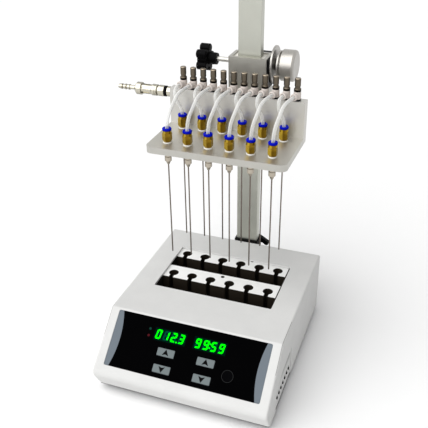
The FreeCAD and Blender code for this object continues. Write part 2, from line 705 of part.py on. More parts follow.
def make_power_board():
    """The power board stands behind the tray, with its transformer and the triac's heat sink."""
    y = BLOCK_REAR + TRAY_GAP + TRAY_WALL + 5
    pan_top = FOOT_HEIGHT + PAN_THICKNESS
    board = box(-30, 78, y, y + 1.6, pan_top + 3, pan_top + 62)
    bracket = box(-30, 78, y - 1.5, y, pan_top, pan_top + 12)
    foot = box(-30, 78, y - 1.5, y + 10, pan_top, pan_top + 1.5)
    core = box(0, 34, y + 1.6, y + 19, pan_top + 20, pan_top + 50)
    coil = box(4, 30, y + 1.6, y + 21, pan_top + 26, pan_top + 44)
    unit = board.fuse([bracket, foot, core, coil])
    for i in range(5):
        x = 45 + i * 6.0
        unit = unit.fuse(box(x, x + 2.0, y + 1.6, y + 17, pan_top + 18, pan_top + 52))
    return unit.removeSplitter()


# Stand

SOCKET_WALL = 2.2
BRACKET_HALF_WIDTH = 34.0
BRACKET_TOP = 79.0
BRACKET_THICKNESS = 2.4
CLAMP_Z = 79.0
CLAMP_BOSS_RADIUS = 9.0
CLAMP_BOSS_LENGTH = 5.0
CLAMP_HUB_RADIUS = 9.5
CLAMP_HUB_LENGTH = 10.0
CLAMP_ARM_THICKNESS = 5.5
CLAMP_SCREW_RADIUS = 4.0
COLUMN_FIT = 0.1
SOCKET_TOP = HOUSING_TOP + SOCKET_ABOVE_COVER
SOCKET_FLOOR = 4.0


def make_bracket():
    """The black socket bolted to the rear wall; the column stands in it."""
    half = COLUMN_WIDTH / 2 + COLUMN_FIT + SOCKET_WALL
    rear = COLUMN_REAR + COLUMN_FIT + SOCKET_WALL
    front = HOUSING_REAR + 0.05
    socket = box(-half, half, front, rear, COLUMN_FOOT - SOCKET_FLOOR, SOCKET_TOP)
    plate = box(-BRACKET_HALF_WIDTH, BRACKET_HALF_WIDTH, front, front + BRACKET_THICKNESS,
                COLUMN_FOOT - SOCKET_FLOOR, BRACKET_TOP)
    corners = [e for e in plate.Edges if abs(e.tangentAt(e.FirstParameter).y) > 0.9]
    body = socket.fuse(plate.makeFillet(5.0, corners))
    boss = rod(CLAMP_BOSS_RADIUS, (0, rear - 1, CLAMP_Z), (0, rear + CLAMP_BOSS_LENGTH, CLAMP_Z))
    body = body.fuse(boss)
    for side in (-1, 1):
        web = polygon([(side * (half - 1), front + 1, COLUMN_FOOT),
                       (side * (BRACKET_HALF_WIDTH - 14), front + 1, COLUMN_FOOT),
                       (side * (half - 1), rear - 2, COLUMN_FOOT)])
        body = body.fuse(web.extrude(Z * 3.0))
    column_slot = box(-COLUMN_WIDTH / 2 - COLUMN_FIT, COLUMN_WIDTH / 2 + COLUMN_FIT,
                      COLUMN_FRONT - COLUMN_FIT, COLUMN_REAR + COLUMN_FIT,
                      COLUMN_FOOT, SOCKET_TOP + 1)
    body = body.cut(column_slot)
    body = body.cut(rod(CLAMP_SCREW_RADIUS + SHAFT_FIT, (0, COLUMN_REAR - 1, CLAMP_Z),
                        (0, rear + CLAMP_BOSS_LENGTH + 1, CLAMP_Z)))
    for x, z in bracket_screw_places():
        body = body.cut(rod(SCREW_RADIUS + 0.2, (x, front - 1, z), (x, front + 8, z)))
    return body.removeSplitter()


def bracket_screw_places():
    inset = 7.0
    return [(x, z) for x in (-BRACKET_HALF_WIDTH + inset, BRACKET_HALF_WIDTH - inset)
            for z in (COLUMN_FOOT - SOCKET_FLOOR + inset + 2, BRACKET_TOP - inset)]


def bracket_screws():
    seat = HOUSING_REAR + 0.05 + BRACKET_THICKNESS
    screws = []
    for x, z in bracket_screw_places():
        head = taper(SCREW_HEAD_RADIUS, SCREW_HEAD_RADIUS - 1.0, (x, seat, z),
                     (x, seat + SCREW_HEAD_HEIGHT, z))
        shank = rod(SCREW_RADIUS, (x, seat - 7, z), (x, seat, z))
        screws.append(head.fuse(shank))
    return screws


def rack_span():
    low = HANDWHEEL_Z - CARRIAGE_DOWN - 4 * math.pi * RACK_MODULE
    high = HANDWHEEL_Z + CARRIAGE_UP + 4 * math.pi * RACK_MODULE
    return low, high


CARRIAGE_DOWN = 70.0
CARRIAGE_UP = 75.0


def make_column():
    """A flat bar with a groove down its rear face for the rack."""
    half = COLUMN_WIDTH / 2
    bar = box(-half, half, COLUMN_FRONT, COLUMN_REAR, COLUMN_FOOT, COLUMN_TOP)
    upright = [e for e in bar.Edges if abs(e.tangentAt(e.FirstParameter).z) > 0.9]
    bar = bar.makeChamfer(0.4, upright)
    low, high = rack_span()
    bar = bar.cut(box(-RACK_WIDTH / 2 - 0.05, RACK_WIDTH / 2 + 0.05, COLUMN_REAR - RACK_THICKNESS,
                      COLUMN_REAR + 1, low - 0.1, high + 0.1))
    return bar


def make_rack():
    """A straight rack set flush into the column, one gap level with the pinion's axis."""
    pitch = math.pi * RACK_MODULE
    low, high = rack_span()
    tip = COLUMN_REAR
    root = COLUMN_REAR - 2.25 * RACK_MODULE
    slope = math.tan(math.radians(PRESSURE_ANGLE))
    gap_at_pitch = pitch / 2 + RACK_BACKLASH
    top_half = gap_at_pitch / 2 + RACK_MODULE * slope
    root_half = gap_at_pitch / 2 - 1.25 * RACK_MODULE * slope
    points = [(0, COLUMN_REAR - RACK_THICKNESS, low), (0, tip, low)]
    first = math.ceil((low - HANDWHEEL_Z) / pitch + 0.5)
    last = math.floor((high - HANDWHEEL_Z) / pitch - 0.5)
    for i in range(first, last + 1):
        z = HANDWHEEL_Z + i * pitch
        points += [(0, tip, z - top_half), (0, root, z - root_half),
                   (0, root, z + root_half), (0, tip, z + top_half)]
    points += [(0, tip, high), (0, COLUMN_REAR - RACK_THICKNESS, high)]
    bar = polygon(points).extrude(X * RACK_WIDTH)
    bar.translate(Vector(-RACK_WIDTH / 2, 0, 0))
    return bar


def make_column_cap():
    """A plastic cap on the column's end, wider than the sleeve's bore, so it is also the stop."""
    half_w = COLUMN_WIDTH / 2 + 2.0
    half_d = COLUMN_DEPTH / 2 + 2.0
    cap = rounded_box(-half_w, half_w, COLUMN_MIDDLE - half_d, COLUMN_MIDDLE + half_d,
                      COLUMN_TOP - 8, COLUMN_TOP + 2.5, 2.0)
    top = [e for e in cap.Edges if e.BoundBox.ZMin > COLUMN_TOP + 2.4]
    cap = cap.makeFillet(1.2, top)
    return cap.cut(box(-COLUMN_WIDTH / 2, COLUMN_WIDTH / 2, COLUMN_FRONT, COLUMN_REAR,
                       COLUMN_TOP - 9, COLUMN_TOP))


def make_clamp_knob():
    """The black clamping knob behind the column's foot: a round hub on its screw, and one arm
    that reaches out past the column and droops to a rounded end."""
    rear = COLUMN_REAR + COLUMN_FIT + SOCKET_WALL + CLAMP_BOSS_LENGTH
    seat = rear + 0.4
    hub = taper(CLAMP_HUB_RADIUS, CLAMP_HUB_RADIUS - 1.0, (0, seat, CLAMP_Z),
                (0, seat + CLAMP_HUB_LENGTH, CLAMP_Z))
    rim = [e for e in hub.Edges if e.BoundBox.YMin > seat + CLAMP_HUB_LENGTH - 0.01]
    hub = hub.makeFillet(1.2, rim)
    start = seat + 1.0
    spine = [(0, 0, 8.0), (10.5, 2.0, 4.6), (18.0, -0.6, 3.0), (22.2, -3.4, 3.2)]
    arm = None
    for (x0, z0, r0), (x1, z1, r1) in zip(spine, spine[1:]):
        span = limb((x0, z0, r0), (x1, z1, r1), start, start + CLAMP_ARM_THICKNESS)
        arm = span if arm is None else arm.fuse(span)
    screw = rod(CLAMP_SCREW_RADIUS, (0, COLUMN_REAR + 0.3, CLAMP_Z), (0, seat + 2, CLAMP_Z))
    return hub.fuse([arm, screw]).removeSplitter()


def limb(first, second, y0, y1):
    """One span of the clamping arm: two round ends of their own radius, joined by a taper."""
    (x0, z0, r0), (x1, z1, r1) = first, second
    away = Vector(x1 - x0, 0, z1 - z0)
    lean = math.asin((r0 - r1) / away.Length)
    heading = math.atan2(away.z, away.x)
    corners = []
    for x, z, r, side in ((x0, z0, r0, 1), (x1, z1, r1, 1), (x1, z1, r1, -1), (x0, z0, r0, -1)):
        angle = heading + side * (math.pi / 2 - lean)
        corners.append((x + r * math.cos(angle), y0, CLAMP_Z + z + r * math.sin(angle)))
    body = polygon(corners).extrude(Y * (y1 - y0))
    ends = [rod(r, (x, y0, CLAMP_Z + z), (x, y1, CLAMP_Z + z)) for x, z, r in (first, second)]
    return body.fuse(ends)


# Carriage

NOTCH_HALF_HEIGHT = 9.0
NOTCH_LEFT = -12.5
CHEEK_THICKNESS = 2.0
CHEEK_FRONT_INSET = 1.5
PINION_HALF_WIDTH = 2.8
HOUSING_REACH = 8.5           # how far the pinion housing stands out behind the sleeve


def make_sleeve():
    """A rectangular tube round the column, notched at its rear right corner for the pinion."""
    half = SLEEVE_WIDTH / 2
    bottom = SLEEVE_TOP - SLEEVE_HEIGHT
    tube = rounded_box(-half, half, SLEEVE_FRONT, SLEEVE_REAR, bottom, SLEEVE_TOP, 1.2)
    tube = tube.cut(box(-half + SLEEVE_WALL, half - SLEEVE_WALL, SLEEVE_FRONT + SLEEVE_WALL,
                        SLEEVE_REAR - SLEEVE_WALL, bottom - 1, SLEEVE_TOP + 1))
    tube = tube.cut(box(NOTCH_LEFT, half + 1, COLUMN_REAR + 0.4, SLEEVE_REAR + 1,
                        HANDWHEEL_Z - NOTCH_HALF_HEIGHT, HANDWHEEL_Z + NOTCH_HALF_HEIGHT))
    tube = tube.cut(rod(LOCK_SCREW_RADIUS + SHAFT_FIT, (-half - 1, COLUMN_MIDDLE, LOCK_Z),
                        (0, COLUMN_MIDDLE, LOCK_Z)))
    return tube.cut(arm_screw_holes()).removeSplitter()


LOCK_SCREW_RADIUS = 3.0
LOCK_PAD_THICKNESS = 2.0
LOCK_PAD_RADIUS = 4.2
LOCK_PAD_GAP = 0.3            # the screw closes this gap in a quarter of a turn
LOCK_TIP_GAP = 0.05


def make_liners():
    """Two plastic liners inside the sleeve: the lower one ends under the arm's screws, and the
    upper one clears the lock pad."""
    bottom = SLEEVE_TOP - SLEEVE_HEIGHT
    half_w = SLEEVE_WIDTH / 2 - SLEEVE_WALL - 0.05
    half_d = SLEEVE_DEPTH / 2 - SLEEVE_WALL - 0.05
    liners = []
    for z0, z1 in ((bottom + LINER_RECESS, ARM_SCREW_Z - 3.3),
                   (SLEEVE_TOP - LINER_RECESS - LINER_HEIGHT, SLEEVE_TOP - LINER_RECESS)):
        ring = box(-half_w, half_w, COLUMN_MIDDLE - half_d, COLUMN_MIDDLE + half_d, z0, z1)
        ring = ring.cut(box(-COLUMN_WIDTH / 2 - SLIDE_FIT, COLUMN_WIDTH / 2 + SLIDE_FIT,
                            COLUMN_FRONT - SLIDE_FIT, COLUMN_REAR + SLIDE_FIT, z0 - 1, z1 + 1))
        ring = ring.cut(box(NOTCH_LEFT - 0.3, half_w + 1, COLUMN_REAR + SLIDE_FIT - 0.01,
                            SLEEVE_REAR, HANDWHEEL_Z - NOTCH_HALF_HEIGHT,
                            HANDWHEEL_Z + NOTCH_HALF_HEIGHT))
        ring = ring.cut(rod(LOCK_PAD_RADIUS + 0.3, (-half_w - 1, COLUMN_MIDDLE, LOCK_Z),
                            (0, COLUMN_MIDDLE, LOCK_Z)))
        liners.append(ring.removeSplitter())
    return liners


def make_pinion_housing():
    """A black moulding behind the sleeve that carries the pinion shaft; its cheek lies on the
    sleeve's right side, where the flange of the handwheel runs."""
    half = SLEEVE_WIDTH / 2
    rear = SLEEVE_REAR + HOUSING_REACH
    cover = rounded_box(-17, half, SLEEVE_REAR + 0.05, rear, HANDWHEEL_Z - 17, HANDWHEEL_Z + 12,
                        1.0)
    cheek = box(half + 0.05, half + CHEEK_THICKNESS, SLEEVE_FRONT + CHEEK_FRONT_INSET, rear,
                HANDWHEEL_Z - 24, HANDWHEEL_Z + 11.5)
    bridge = box(half - 2, half + 1, SLEEVE_REAR + 0.05, rear, HANDWHEEL_Z - 17, HANDWHEEL_Z + 11.5)
    body = cover.fuse([cheek, bridge])
    for x0, x1 in ((NOTCH_LEFT + 0.2, -PINION_HALF_WIDTH - 0.6), (PINION_HALF_WIDTH + 0.6, half)):
        body = body.fuse(box(x0, x1, COLUMN_REAR + 0.6, SLEEVE_REAR + 1,
                             HANDWHEEL_Z - NOTCH_HALF_HEIGHT + 0.2,
                             HANDWHEEL_Z + NOTCH_HALF_HEIGHT - 0.2))
    body = body.fuse(box(half - 1, half + 1, COLUMN_REAR + 0.6, SLEEVE_REAR + 1,
                         HANDWHEEL_Z - NOTCH_HALF_HEIGHT + 0.2,
                         HANDWHEEL_Z + NOTCH_HALF_HEIGHT - 0.2))
    tip = PITCH_RADIUS + RACK_MODULE
    body = body.cut(rod(tip + 0.6, (-PINION_HALF_WIDTH - 0.6, PINION_Y, HANDWHEEL_Z),
                        (PINION_HALF_WIDTH + 0.6, PINION_Y, HANDWHEEL_Z)))
    body = body.cut(rod(SHAFT_RADIUS + SHAFT_FIT, (SHAFT_LEFT - 0.3, PINION_Y, HANDWHEEL_Z),
                        (half + 5, PINION_Y, HANDWHEEL_Z)))
    return body.removeSplitter()


SHAFT_LEFT = -10.5
WHEEL_START = SLEEVE_WIDTH / 2 + CHEEK_THICKNESS + 0.3


def involute_flank(steps):
    """Points of one tooth flank as (radius, angle from the tooth's middle)."""
    base = PITCH_RADIUS * math.cos(math.radians(PRESSURE_ANGLE))
    tip = PITCH_RADIUS + RACK_MODULE
    tilt = math.radians(PRESSURE_ANGLE)
    half_angle = (math.pi / 2 - RACK_BACKLASH) / PINION_TEETH + math.tan(tilt) - tilt
    flank = []
    for i in range(steps + 1):
        radius = base + (tip - base) * i / steps
        turn = math.acos(base / radius)
        flank.append((radius, half_angle - (math.tan(turn) - turn)))
    return flank


def make_pinion_shaft():
    """The pinion, cut in one piece with its shaft."""
    root = PITCH_RADIUS - 1.25 * RACK_MODULE
    flank = involute_flank(2)
    outline = []
    for i in range(PINION_TEETH):
        middle = math.pi + 2 * math.pi * i / PINION_TEETH
        outline.append((root, middle - flank[0][1]))
        outline += [(r, middle - a) for r, a in flank]
        outline += [(r, middle + a) for r, a in reversed(flank)]
        outline.append((root, middle + flank[0][1]))
    points = [(-PINION_HALF_WIDTH, PINION_Y + r * math.cos(a), HANDWHEEL_Z + r * math.sin(a))
              for r, a in outline]
    gear = polygon(points).extrude(X * (2 * PINION_HALF_WIDTH))
    shaft = rod(SHAFT_RADIUS, (SHAFT_LEFT, PINION_Y, HANDWHEEL_Z),
                (WHEEL_START + 5.0, PINION_Y, HANDWHEEL_Z))
    return gear.fuse(shaft).removeSplitter()


def make_handwheel():
    """The turned aluminium handwheel: flange disc, neck ring and grip on one hub."""
    disc, hub, ring, grip = 22.4, 6.4, 17.0, 18.8
    bore = SHAFT_RADIUS
    profile = [(bore, 0), (disc - 0.5, 0), (disc, 0.5), (disc, 2.2), (disc - 0.5, 2.7),
               (hub + 2, 2.7), (hub, 4.0), (hub, 6.3), (ring - 0.4, 6.3), (ring, 6.7), (ring, 8.5),
               (ring - 0.4, 8.9), (ring - 2.5, 8.9), (ring - 2.5, 10.5), (grip - 0.8, 10.5),
               (grip, 11.3), (grip, 25.0), (grip - 0.9, 27.0), (grip - 2.8, 27.8), (0, 27.8),
               (0, 5.2), (bore, 5.2)]
    return turned(profile, (WHEEL_START, PINION_Y, HANDWHEEL_Z), (1, 0, 0))


LOCK_HEAD_THICKNESS = 12.9
LOCK_RADIUS = 17.2
LOCK_HUB_LENGTH = 9.8
LOCK_FACE = -52.1             # inner face of the lobed head


def make_lock_knob():
    """The black lobed lock knob with its steel screw through the sleeve's left wall."""
    head = star(LOCK_RADIUS, 11.0, LOCK_HEAD_THICKNESS, 5, 5.2)
    rims = [e for e in head.Edges if e.BoundBox.ZLength < 0.01]
    head = head.makeChamfer(0.9, rims)
    head.rotate(Vector(0, 0, 0), Y, -90)
    head.translate(Vector(LOCK_FACE, COLUMN_MIDDLE, LOCK_Z))
    hub = taper(7.7, 7.0, (LOCK_FACE - 1, COLUMN_MIDDLE, LOCK_Z),
                (LOCK_FACE + LOCK_HUB_LENGTH, COLUMN_MIDDLE, LOCK_Z))
    tip = -COLUMN_WIDTH / 2 - LOCK_PAD_GAP - LOCK_PAD_THICKNESS - LOCK_TIP_GAP
    screw = rod(LOCK_SCREW_RADIUS, (LOCK_FACE, COLUMN_MIDDLE, LOCK_Z), (tip, COLUMN_MIDDLE, LOCK_Z))
    return head.fuse([hub, screw]).removeSplitter()


def make_lock_pad():
    face = -COLUMN_WIDTH / 2 - LOCK_PAD_GAP
    return rod(LOCK_PAD_RADIUS, (face - LOCK_PAD_THICKNESS, COLUMN_MIDDLE, LOCK_Z),
               (face, COLUMN_MIDDLE, LOCK_Z))


ARM_HALF_WIDTH = 17.0
ARM_HEIGHT = 24.0
ARM_BOTTOM = PLATE_BOTTOM + 27.5
ARM_SCREW_Z = ARM_BOTTOM + 14.0


def make_arm():
    """The block between the gas head and the sleeve, bolted to both."""
    arm = box(-ARM_HALF_WIDTH, ARM_HALF_WIDTH, MANIFOLD_REAR, SLEEVE_FRONT, ARM_BOTTOM,
              ARM_BOTTOM + ARM_HEIGHT)
    long_edges = [e for e in arm.Edges if abs(e.tangentAt(e.FirstParameter).y) > 0.9]
    return arm.makeFillet(2.5, long_edges).cut(arm_screw_holes())


# Gas head

PLATE_SCREW_X = (-60.0, -20.0, 20.0, 60.0)
ARM_SCREW_X = (-9.0, 9.0)
SCREW_M3 = 1.5
PLATE_SCREW_REACH = 7.5
THREAD_RADIUS = 2.5


def make_needle_plate():
    half = HEAD_WIDTH / 2
    plate = box(-half, half, PLATE_FRONT, MANIFOLD_FRONT, PLATE_BOTTOM, PLATE_TOP)
    corners = [e for e in plate.Edges if abs(e.tangentAt(e.FirstParameter).z) > 0.9
               and e.CenterOfMass.y < PLATE_FRONT + 1]
    plate = plate.makeFillet(PLATE_CORNER, corners)
    holes = [rod(THREAD_RADIUS + 0.05, (x, y, PLATE_BOTTOM - 1), (x, y, PLATE_TOP + 1))
             for x in WELL_X for y in (FRONT_ROW, REAR_ROW)]
    return plate.cut(holes).cut(plate_screw_holes())


def make_manifold():
    """The upright plate of the head: a drilled gallery feeds the 12 valves on its top edge."""
    half = HEAD_WIDTH / 2
    body = box(-half, half, MANIFOLD_FRONT, MANIFOLD_REAR, PLATE_BOTTOM, MANIFOLD_TOP)
    ends = [e for e in body.Edges if e.BoundBox.XLength < 0.01 and e.CenterOfMass.z > MANIFOLD_TOP - 1]
    body = body.makeChamfer(0.5, ends)
    drillings = [rod(GALLERY_DIAMETER / 2, (-half - 1, VALVE_Y, COUPLER_Z),
                     (VALVE_X[-1] + 3, VALVE_Y, COUPLER_Z)),
                 rod(COUPLER_THREAD + 0.05, (-half - 1, VALVE_Y, COUPLER_Z),
                     (-half + COUPLER_THREAD_LENGTH + 0.2, VALVE_Y, COUPLER_Z))]
    for x in VALVE_X:
        drillings.append(rod(1.5, (x, VALVE_Y, COUPLER_Z), (x, VALVE_Y, MANIFOLD_TOP + 1)))
    body = body.cut(drillings).cut(plate_screw_holes())
    return body.cut([shifted(hole, STAND_SHIFT - WORK_SHIFT) for hole in arm_screw_holes()])


def plate_screw_holes():
    z = PLATE_BOTTOM + PLATE_THICKNESS / 2
    return [rod(SCREW_M3 + 0.05, (x, MANIFOLD_FRONT - PLATE_SCREW_REACH - 0.2, z),
                (x, MANIFOLD_REAR + 1, z)) for x in PLATE_SCREW_X]


def arm_screw_holes():
    return [rod(SCREW_M3 + 0.05, (x, MANIFOLD_REAR - 3.2, ARM_SCREW_Z),
                (x, SLEEVE_FRONT + SLEEVE_WALL + 1, ARM_SCREW_Z)) for x in ARM_SCREW_X]


def head_screws():
    """Cap screws: four through the manifold into the needle plate, and two from inside the
    sleeve through the arm into the manifold."""
    screws = []
    for x in PLATE_SCREW_X:
        screws.append(cap_screw(x, MANIFOLD_REAR, PLATE_BOTTOM + PLATE_THICKNESS / 2,
                                MANIFOLD_THICKNESS + PLATE_SCREW_REACH))
    for x in ARM_SCREW_X:
        seat = SLEEVE_FRONT + SLEEVE_WALL
        screw = cap_screw(x, seat, ARM_SCREW_Z, seat - MANIFOLD_REAR + 3.0)
        screws.append(shifted(screw, STAND_SHIFT - WORK_SHIFT))
    return screws


def cap_screw(x, y, z, reach):
    """A cap screw whose head sits at y and whose shank runs forwards from there."""
    head = rod(2.75, (x, y, z), (x, y + 3.0, z))
    socket = hex_bar(2.5, 0, 2.2)
    socket.rotate(Vector(0, 0, 0), X, -90)
    socket.translate(Vector(x, y + 1.3, z))
    return head.cut(socket).fuse(rod(SCREW_M3, (x, y - reach, z), (x, y, z)))


COUPLER_THREAD = 4.85
COUPLER_THREAD_LENGTH = 9.0
NECK_RADIUS = 6.2
NECK_LENGTH = 5.6
SEAL_LENGTH = 3.4
RING_LENGTH = 8.2
SLEEVE_RING_RADIUS = 7.0
SLEEVE_GAP = 0.9
PLUG_BARREL_LENGTH = 13.5
PLUG_FLANGE_LENGTH = 8.5
SLEEVE_TRAVEL = 1.6

NECK_END = -HEAD_WIDTH / 2
SEAL_START = NECK_END - NECK_LENGTH
BODY_START = SEAL_START - SEAL_LENGTH
RING_START = BODY_START - RING_LENGTH
PLUG_START = RING_START - RING_LENGTH
FLANGE_START = PLUG_START - PLUG_BARREL_LENGTH
TAIL_START = FLANGE_START - PLUG_FLANGE_LENGTH


def along_coupler(profile, start):
    """A turned piece on the coupler's axis; distances run outwards, to the left."""
    return turned(profile, (start, VALVE_Y, COUPLER_Z), (-1, 0, 0))


def make_coupler_socket():
    """Thread, neck and body of the gas inlet socket; its bore takes the plug's nose."""
    total = NECK_LENGTH + SEAL_LENGTH + RING_LENGTH
    profile = [(2.0, -COUPLER_THREAD_LENGTH), (COUPLER_THREAD, -COUPLER_THREAD_LENGTH),
               (COUPLER_THREAD, 0), (NECK_RADIUS, 0), (NECK_RADIUS, NECK_LENGTH - 1.0),
               (NECK_RADIUS - 1.0, NECK_LENGTH), (NECK_RADIUS - 1.0, NECK_LENGTH + SEAL_LENGTH),
               (NECK_RADIUS + 0.3, NECK_LENGTH + SEAL_LENGTH), (NECK_RADIUS + 0.6, NECK_LENGTH + 5),
               (NECK_RADIUS + 0.6, total - 1.0), (5.0, total - 1.0), (5.0, total + 6.5),
               (3.6, total + 6.5), (3.6, 4.0), (2.0, 4.0)]
    return along_coupler(profile, NECK_END)


def make_coupler_seal():
    inner = NECK_RADIUS - 1.0 + 0.05
    outer = NECK_RADIUS + 0.35
    profile = [(inner, 0), (outer - 0.6, 0), (outer, 0.8), (outer, SEAL_LENGTH - 0.9),
               (outer - 0.6, SEAL_LENGTH - 0.1), (inner, SEAL_LENGTH - 0.1)]
    return along_coupler(profile, SEAL_START)


def make_coupler_sleeve():
    """The sprung sleeve that is pulled back to free the plug."""
    inner = 5.0 + 0.08
    outer = SLEEVE_RING_RADIUS
    length = RING_LENGTH - SLEEVE_GAP
    profile = [(inner, 0), (outer - 0.6, 0), (outer, 0.8), (outer, 1.8), (outer - 0.4, 2.3),
               (outer - 0.4, 2.9), (outer, 3.4), (outer, length - 0.8), (outer - 0.6, length),
               (inner, length)]
    return along_coupler(profile, RING_START - SLEEVE_GAP)


def make_hose_plug():
    """The plug in the coupler: slotted barrel, wide flange and a tail with three barbs."""
    tail = PLUG_BARREL_LENGTH + PLUG_FLANGE_LENGTH
    nose = -RING_LENGTH
    profile = [(1.4, nose), (3.5, nose), (3.5, 0.1), (6.0, 0.1), (6.0, PLUG_BARREL_LENGTH),
               (7.4, PLUG_BARREL_LENGTH), (7.7, PLUG_BARREL_LENGTH + 0.6),
               (7.7, tail - 2.2), (5.4, tail), (2.6, tail)]
    barb_start = tail + 8.4
    profile.append((2.6, barb_start))
    for i in range(3):
        start = barb_start + i * 5.1
        profile += [(3.6, start), (2.4, start + 5.1)]
    profile.append((1.4, barb_start + 3 * 5.1))
    plug = along_coupler(profile, PLUG_START)
    slots = []
    for i in range(6):
        slot = box(FLANGE_START + 1.0, PLUG_START - 2.4, VALVE_Y + 4.6, VALVE_Y + 8, -1.3, 1.3)
        slot.translate(Vector(0, 0, COUPLER_Z))
        slot.rotate(Vector(0, VALVE_Y, COUPLER_Z), X, 60 * i + 30)
        slots.append(slot)
    return plug.cut(slots)


BASE_HEIGHT = 1.7
BODY_TOP = MANIFOLD_TOP + 10.2
PORT_Z = MANIFOLD_TOP + 5.4
PORT_REACH = 9.2
PORT_RADIUS = 4.1
KNOB_TOP = MANIFOLD_TOP + 25.8


def port_direction():
    turn = math.radians(VALVE_TURN)
    return Vector(-math.sin(turn), -math.cos(turn), 0)


def make_valve_bases():
    bases = []
    for x in VALVE_X:
        base = rod(4.6, (x, VALVE_Y, MANIFOLD_TOP), (x, VALVE_Y, MANIFOLD_TOP + BASE_HEIGHT))
        stub = rod(1.45, (x, VALVE_Y, MANIFOLD_TOP - 3), (x, VALVE_Y, MANIFOLD_TOP))
        bases.append(base.fuse(stub))
    return bases


def make_valve_body(x):
    """A white elbow body: an upright barrel and the tube port that looks forwards."""
    foot = MANIFOLD_TOP + BASE_HEIGHT
    barrel = turned([(0, 0), (4.3, 0), (4.3, BODY_TOP - foot - 1.2), (3.9, BODY_TOP - foot),
                     (1.75, BODY_TOP - foot), (1.75, BODY_TOP - foot - 4.5),
                     (0, BODY_TOP - foot - 4.5)], (x, VALVE_Y, foot), (0, 0, 1))
    ahead = port_direction()
    port = turned([(0, 0), (PORT_RADIUS - 0.6, 0), (PORT_RADIUS - 0.6, PORT_REACH - 3.4),
                   (PORT_RADIUS, PORT_REACH - 2.8), (PORT_RADIUS, PORT_REACH - 0.6),
                   (PORT_RADIUS - 0.6, PORT_REACH), (2.6, PORT_REACH), (2.6, PORT_REACH - 1.6),
                   (0, PORT_REACH - 1.6)], (x, VALVE_Y, PORT_Z), tuple(ahead))
    bore = rod(1.75, (x, VALVE_Y, BODY_TOP - 4.5), (x, VALVE_Y, BODY_TOP + 1))
    return barrel.fuse(port).cut(bore).removeSplitter()


def make_valve_knob(x):
    """The dark knob of one needle valve: collar, neck and grip over a short stem."""
    top = KNOB_TOP - BODY_TOP
    profile = [(0, -4.0), (1.65, -4.0), (1.65, 0.2), (4.0, 0.2), (4.15, 0.5), (4.15, 3.2),
               (3.7, 3.8), (3.15, 4.1), (3.15, 6.1), (3.5, 6.5), (3.5, top - 0.5), (3.1, top),
               (0, top)]
    return turned(profile, (x, VALVE_Y, BODY_TOP), (0, 0, 1))


WASHER_THICKNESS = 1.0
FITTING_HEX = 10.0
FITTING_HEIGHT = 13.5
FITTING_TOP = PLATE_TOP + WASHER_THICKNESS + FITTING_HEIGHT


def row_places():
    return [(x, y) for y in (FRONT_ROW, REAR_ROW) for x in WELL_X]


def make_fitting(x, y):
    """A brass push-in fitting: chamfered hexagon, round collar and the threaded stub below."""
    foot = PLATE_TOP + WASHER_THICKNESS
    hexagon = hex_bar(FITTING_HEX, foot, foot + FITTING_HEIGHT - 3.0, x, y)
    corner = FITTING_HEX / 2 / math.cos(math.radians(30))
    envelope = taper(corner - 1.5, corner + 0.6, (x, y, foot), (x, y, foot + 3.4))
    envelope = envelope.fuse(rod(corner + 0.6, (x, y, foot + 3.4), (x, y, foot + FITTING_HEIGHT)))
    body = hexagon.common(envelope)
    collar = rod(5.2, (x, y, foot + FITTING_HEIGHT - 3.0), (x, y, foot + FITTING_HEIGHT))
    stub = rod(THREAD_RADIUS, (x, y, PLATE_BOTTOM - 3.0), (x, y, foot))
    body = body.fuse([collar, stub])
    recess = rod(3.2, (x, y, FITTING_TOP - 1.6), (x, y, FITTING_TOP + 1))
    return body.cut(recess).removeSplitter()


def make_release_ring(x, y):
    profile = [(2.5, -1.4), (3.1, -1.4), (3.1, 0.4), (4.9, 0.4), (5.4, 0.9), (5.4, 2.4),
               (4.9, 3.0), (3.2, 3.0), (2.5, 2.4)]
    return turned(profile, (x, y, FITTING_TOP), (0, 0, 1))


def make_washer(x, y):
    outer = rod(5.1, (x, y, PLATE_TOP), (x, y, PLATE_TOP + WASHER_THICKNESS))
    return outer.cut(rod(THREAD_RADIUS + 0.05, (x, y, PLATE_TOP - 1), (x, y, PLATE_TOP + 3)))


def make_hub(x, y):
    """A luer needle hub screwed on the fitting's stub under the plate."""
    bore = NEEDLE_DIAMETER / 2 + 0.02
    profile = [(THREAD_RADIUS + 0.05, 0), (3.9, 0), (3.9, -3.4), (3.3, -3.8), (3.3, -9.6),
               (4.1, -10.0), (4.1, -15.0), (3.1, -15.5), (1.6, -HUB_LENGTH + 0.5),
               (1.2, -HUB_LENGTH), (bore, -HUB_LENGTH), (bore, -3.0), (THREAD_RADIUS + 0.05, -3.0)]
    return turned(profile, (x, y, PLATE_BOTTOM), (0, 0, 1))


def make_needle(x, y):
    return rod(NEEDLE_DIAMETER / 2, (x, y, NEEDLE_TIP), (x, y, PLATE_BOTTOM - 3.3))


# Gas tubes

def tube_path(corners, label):
    """Straight runs joined by tangent arcs; each arc is as large as its two runs allow."""
    edges = []
    at = corners[0]
    tightest = None
    for i in range(1, len(corners) - 1):
        back = corners[i] - corners[i - 1]
        ahead = corners[i + 1] - corners[i]
        turn = back.getAngle(ahead)
        reach = 0.45 * min(back.Length, ahead.Length)
        radius = reach / math.tan(turn / 2)
        tightest = radius if tightest is None else min(tightest, radius)
        into = back.normalize()
        out = ahead.normalize()
        start = corners[i] - into * reach
        end = corners[i] + out * reach
        inward = (out - into).normalize()
        centre_gap = radius / math.cos(turn / 2)
        middle = corners[i] + inward * (centre_gap - radius)
        edges.append(Part.LineSegment(at, start).toShape())
        edges.append(Part.Arc(start, middle, end).toShape())
        at = end
    edges.append(Part.LineSegment(at, corners[-1]).toShape())
    wire = Part.Wire(edges)
    print(label, "length", round(wire.Length, 1), "tightest radius", round(tightest, 1))
    return wire


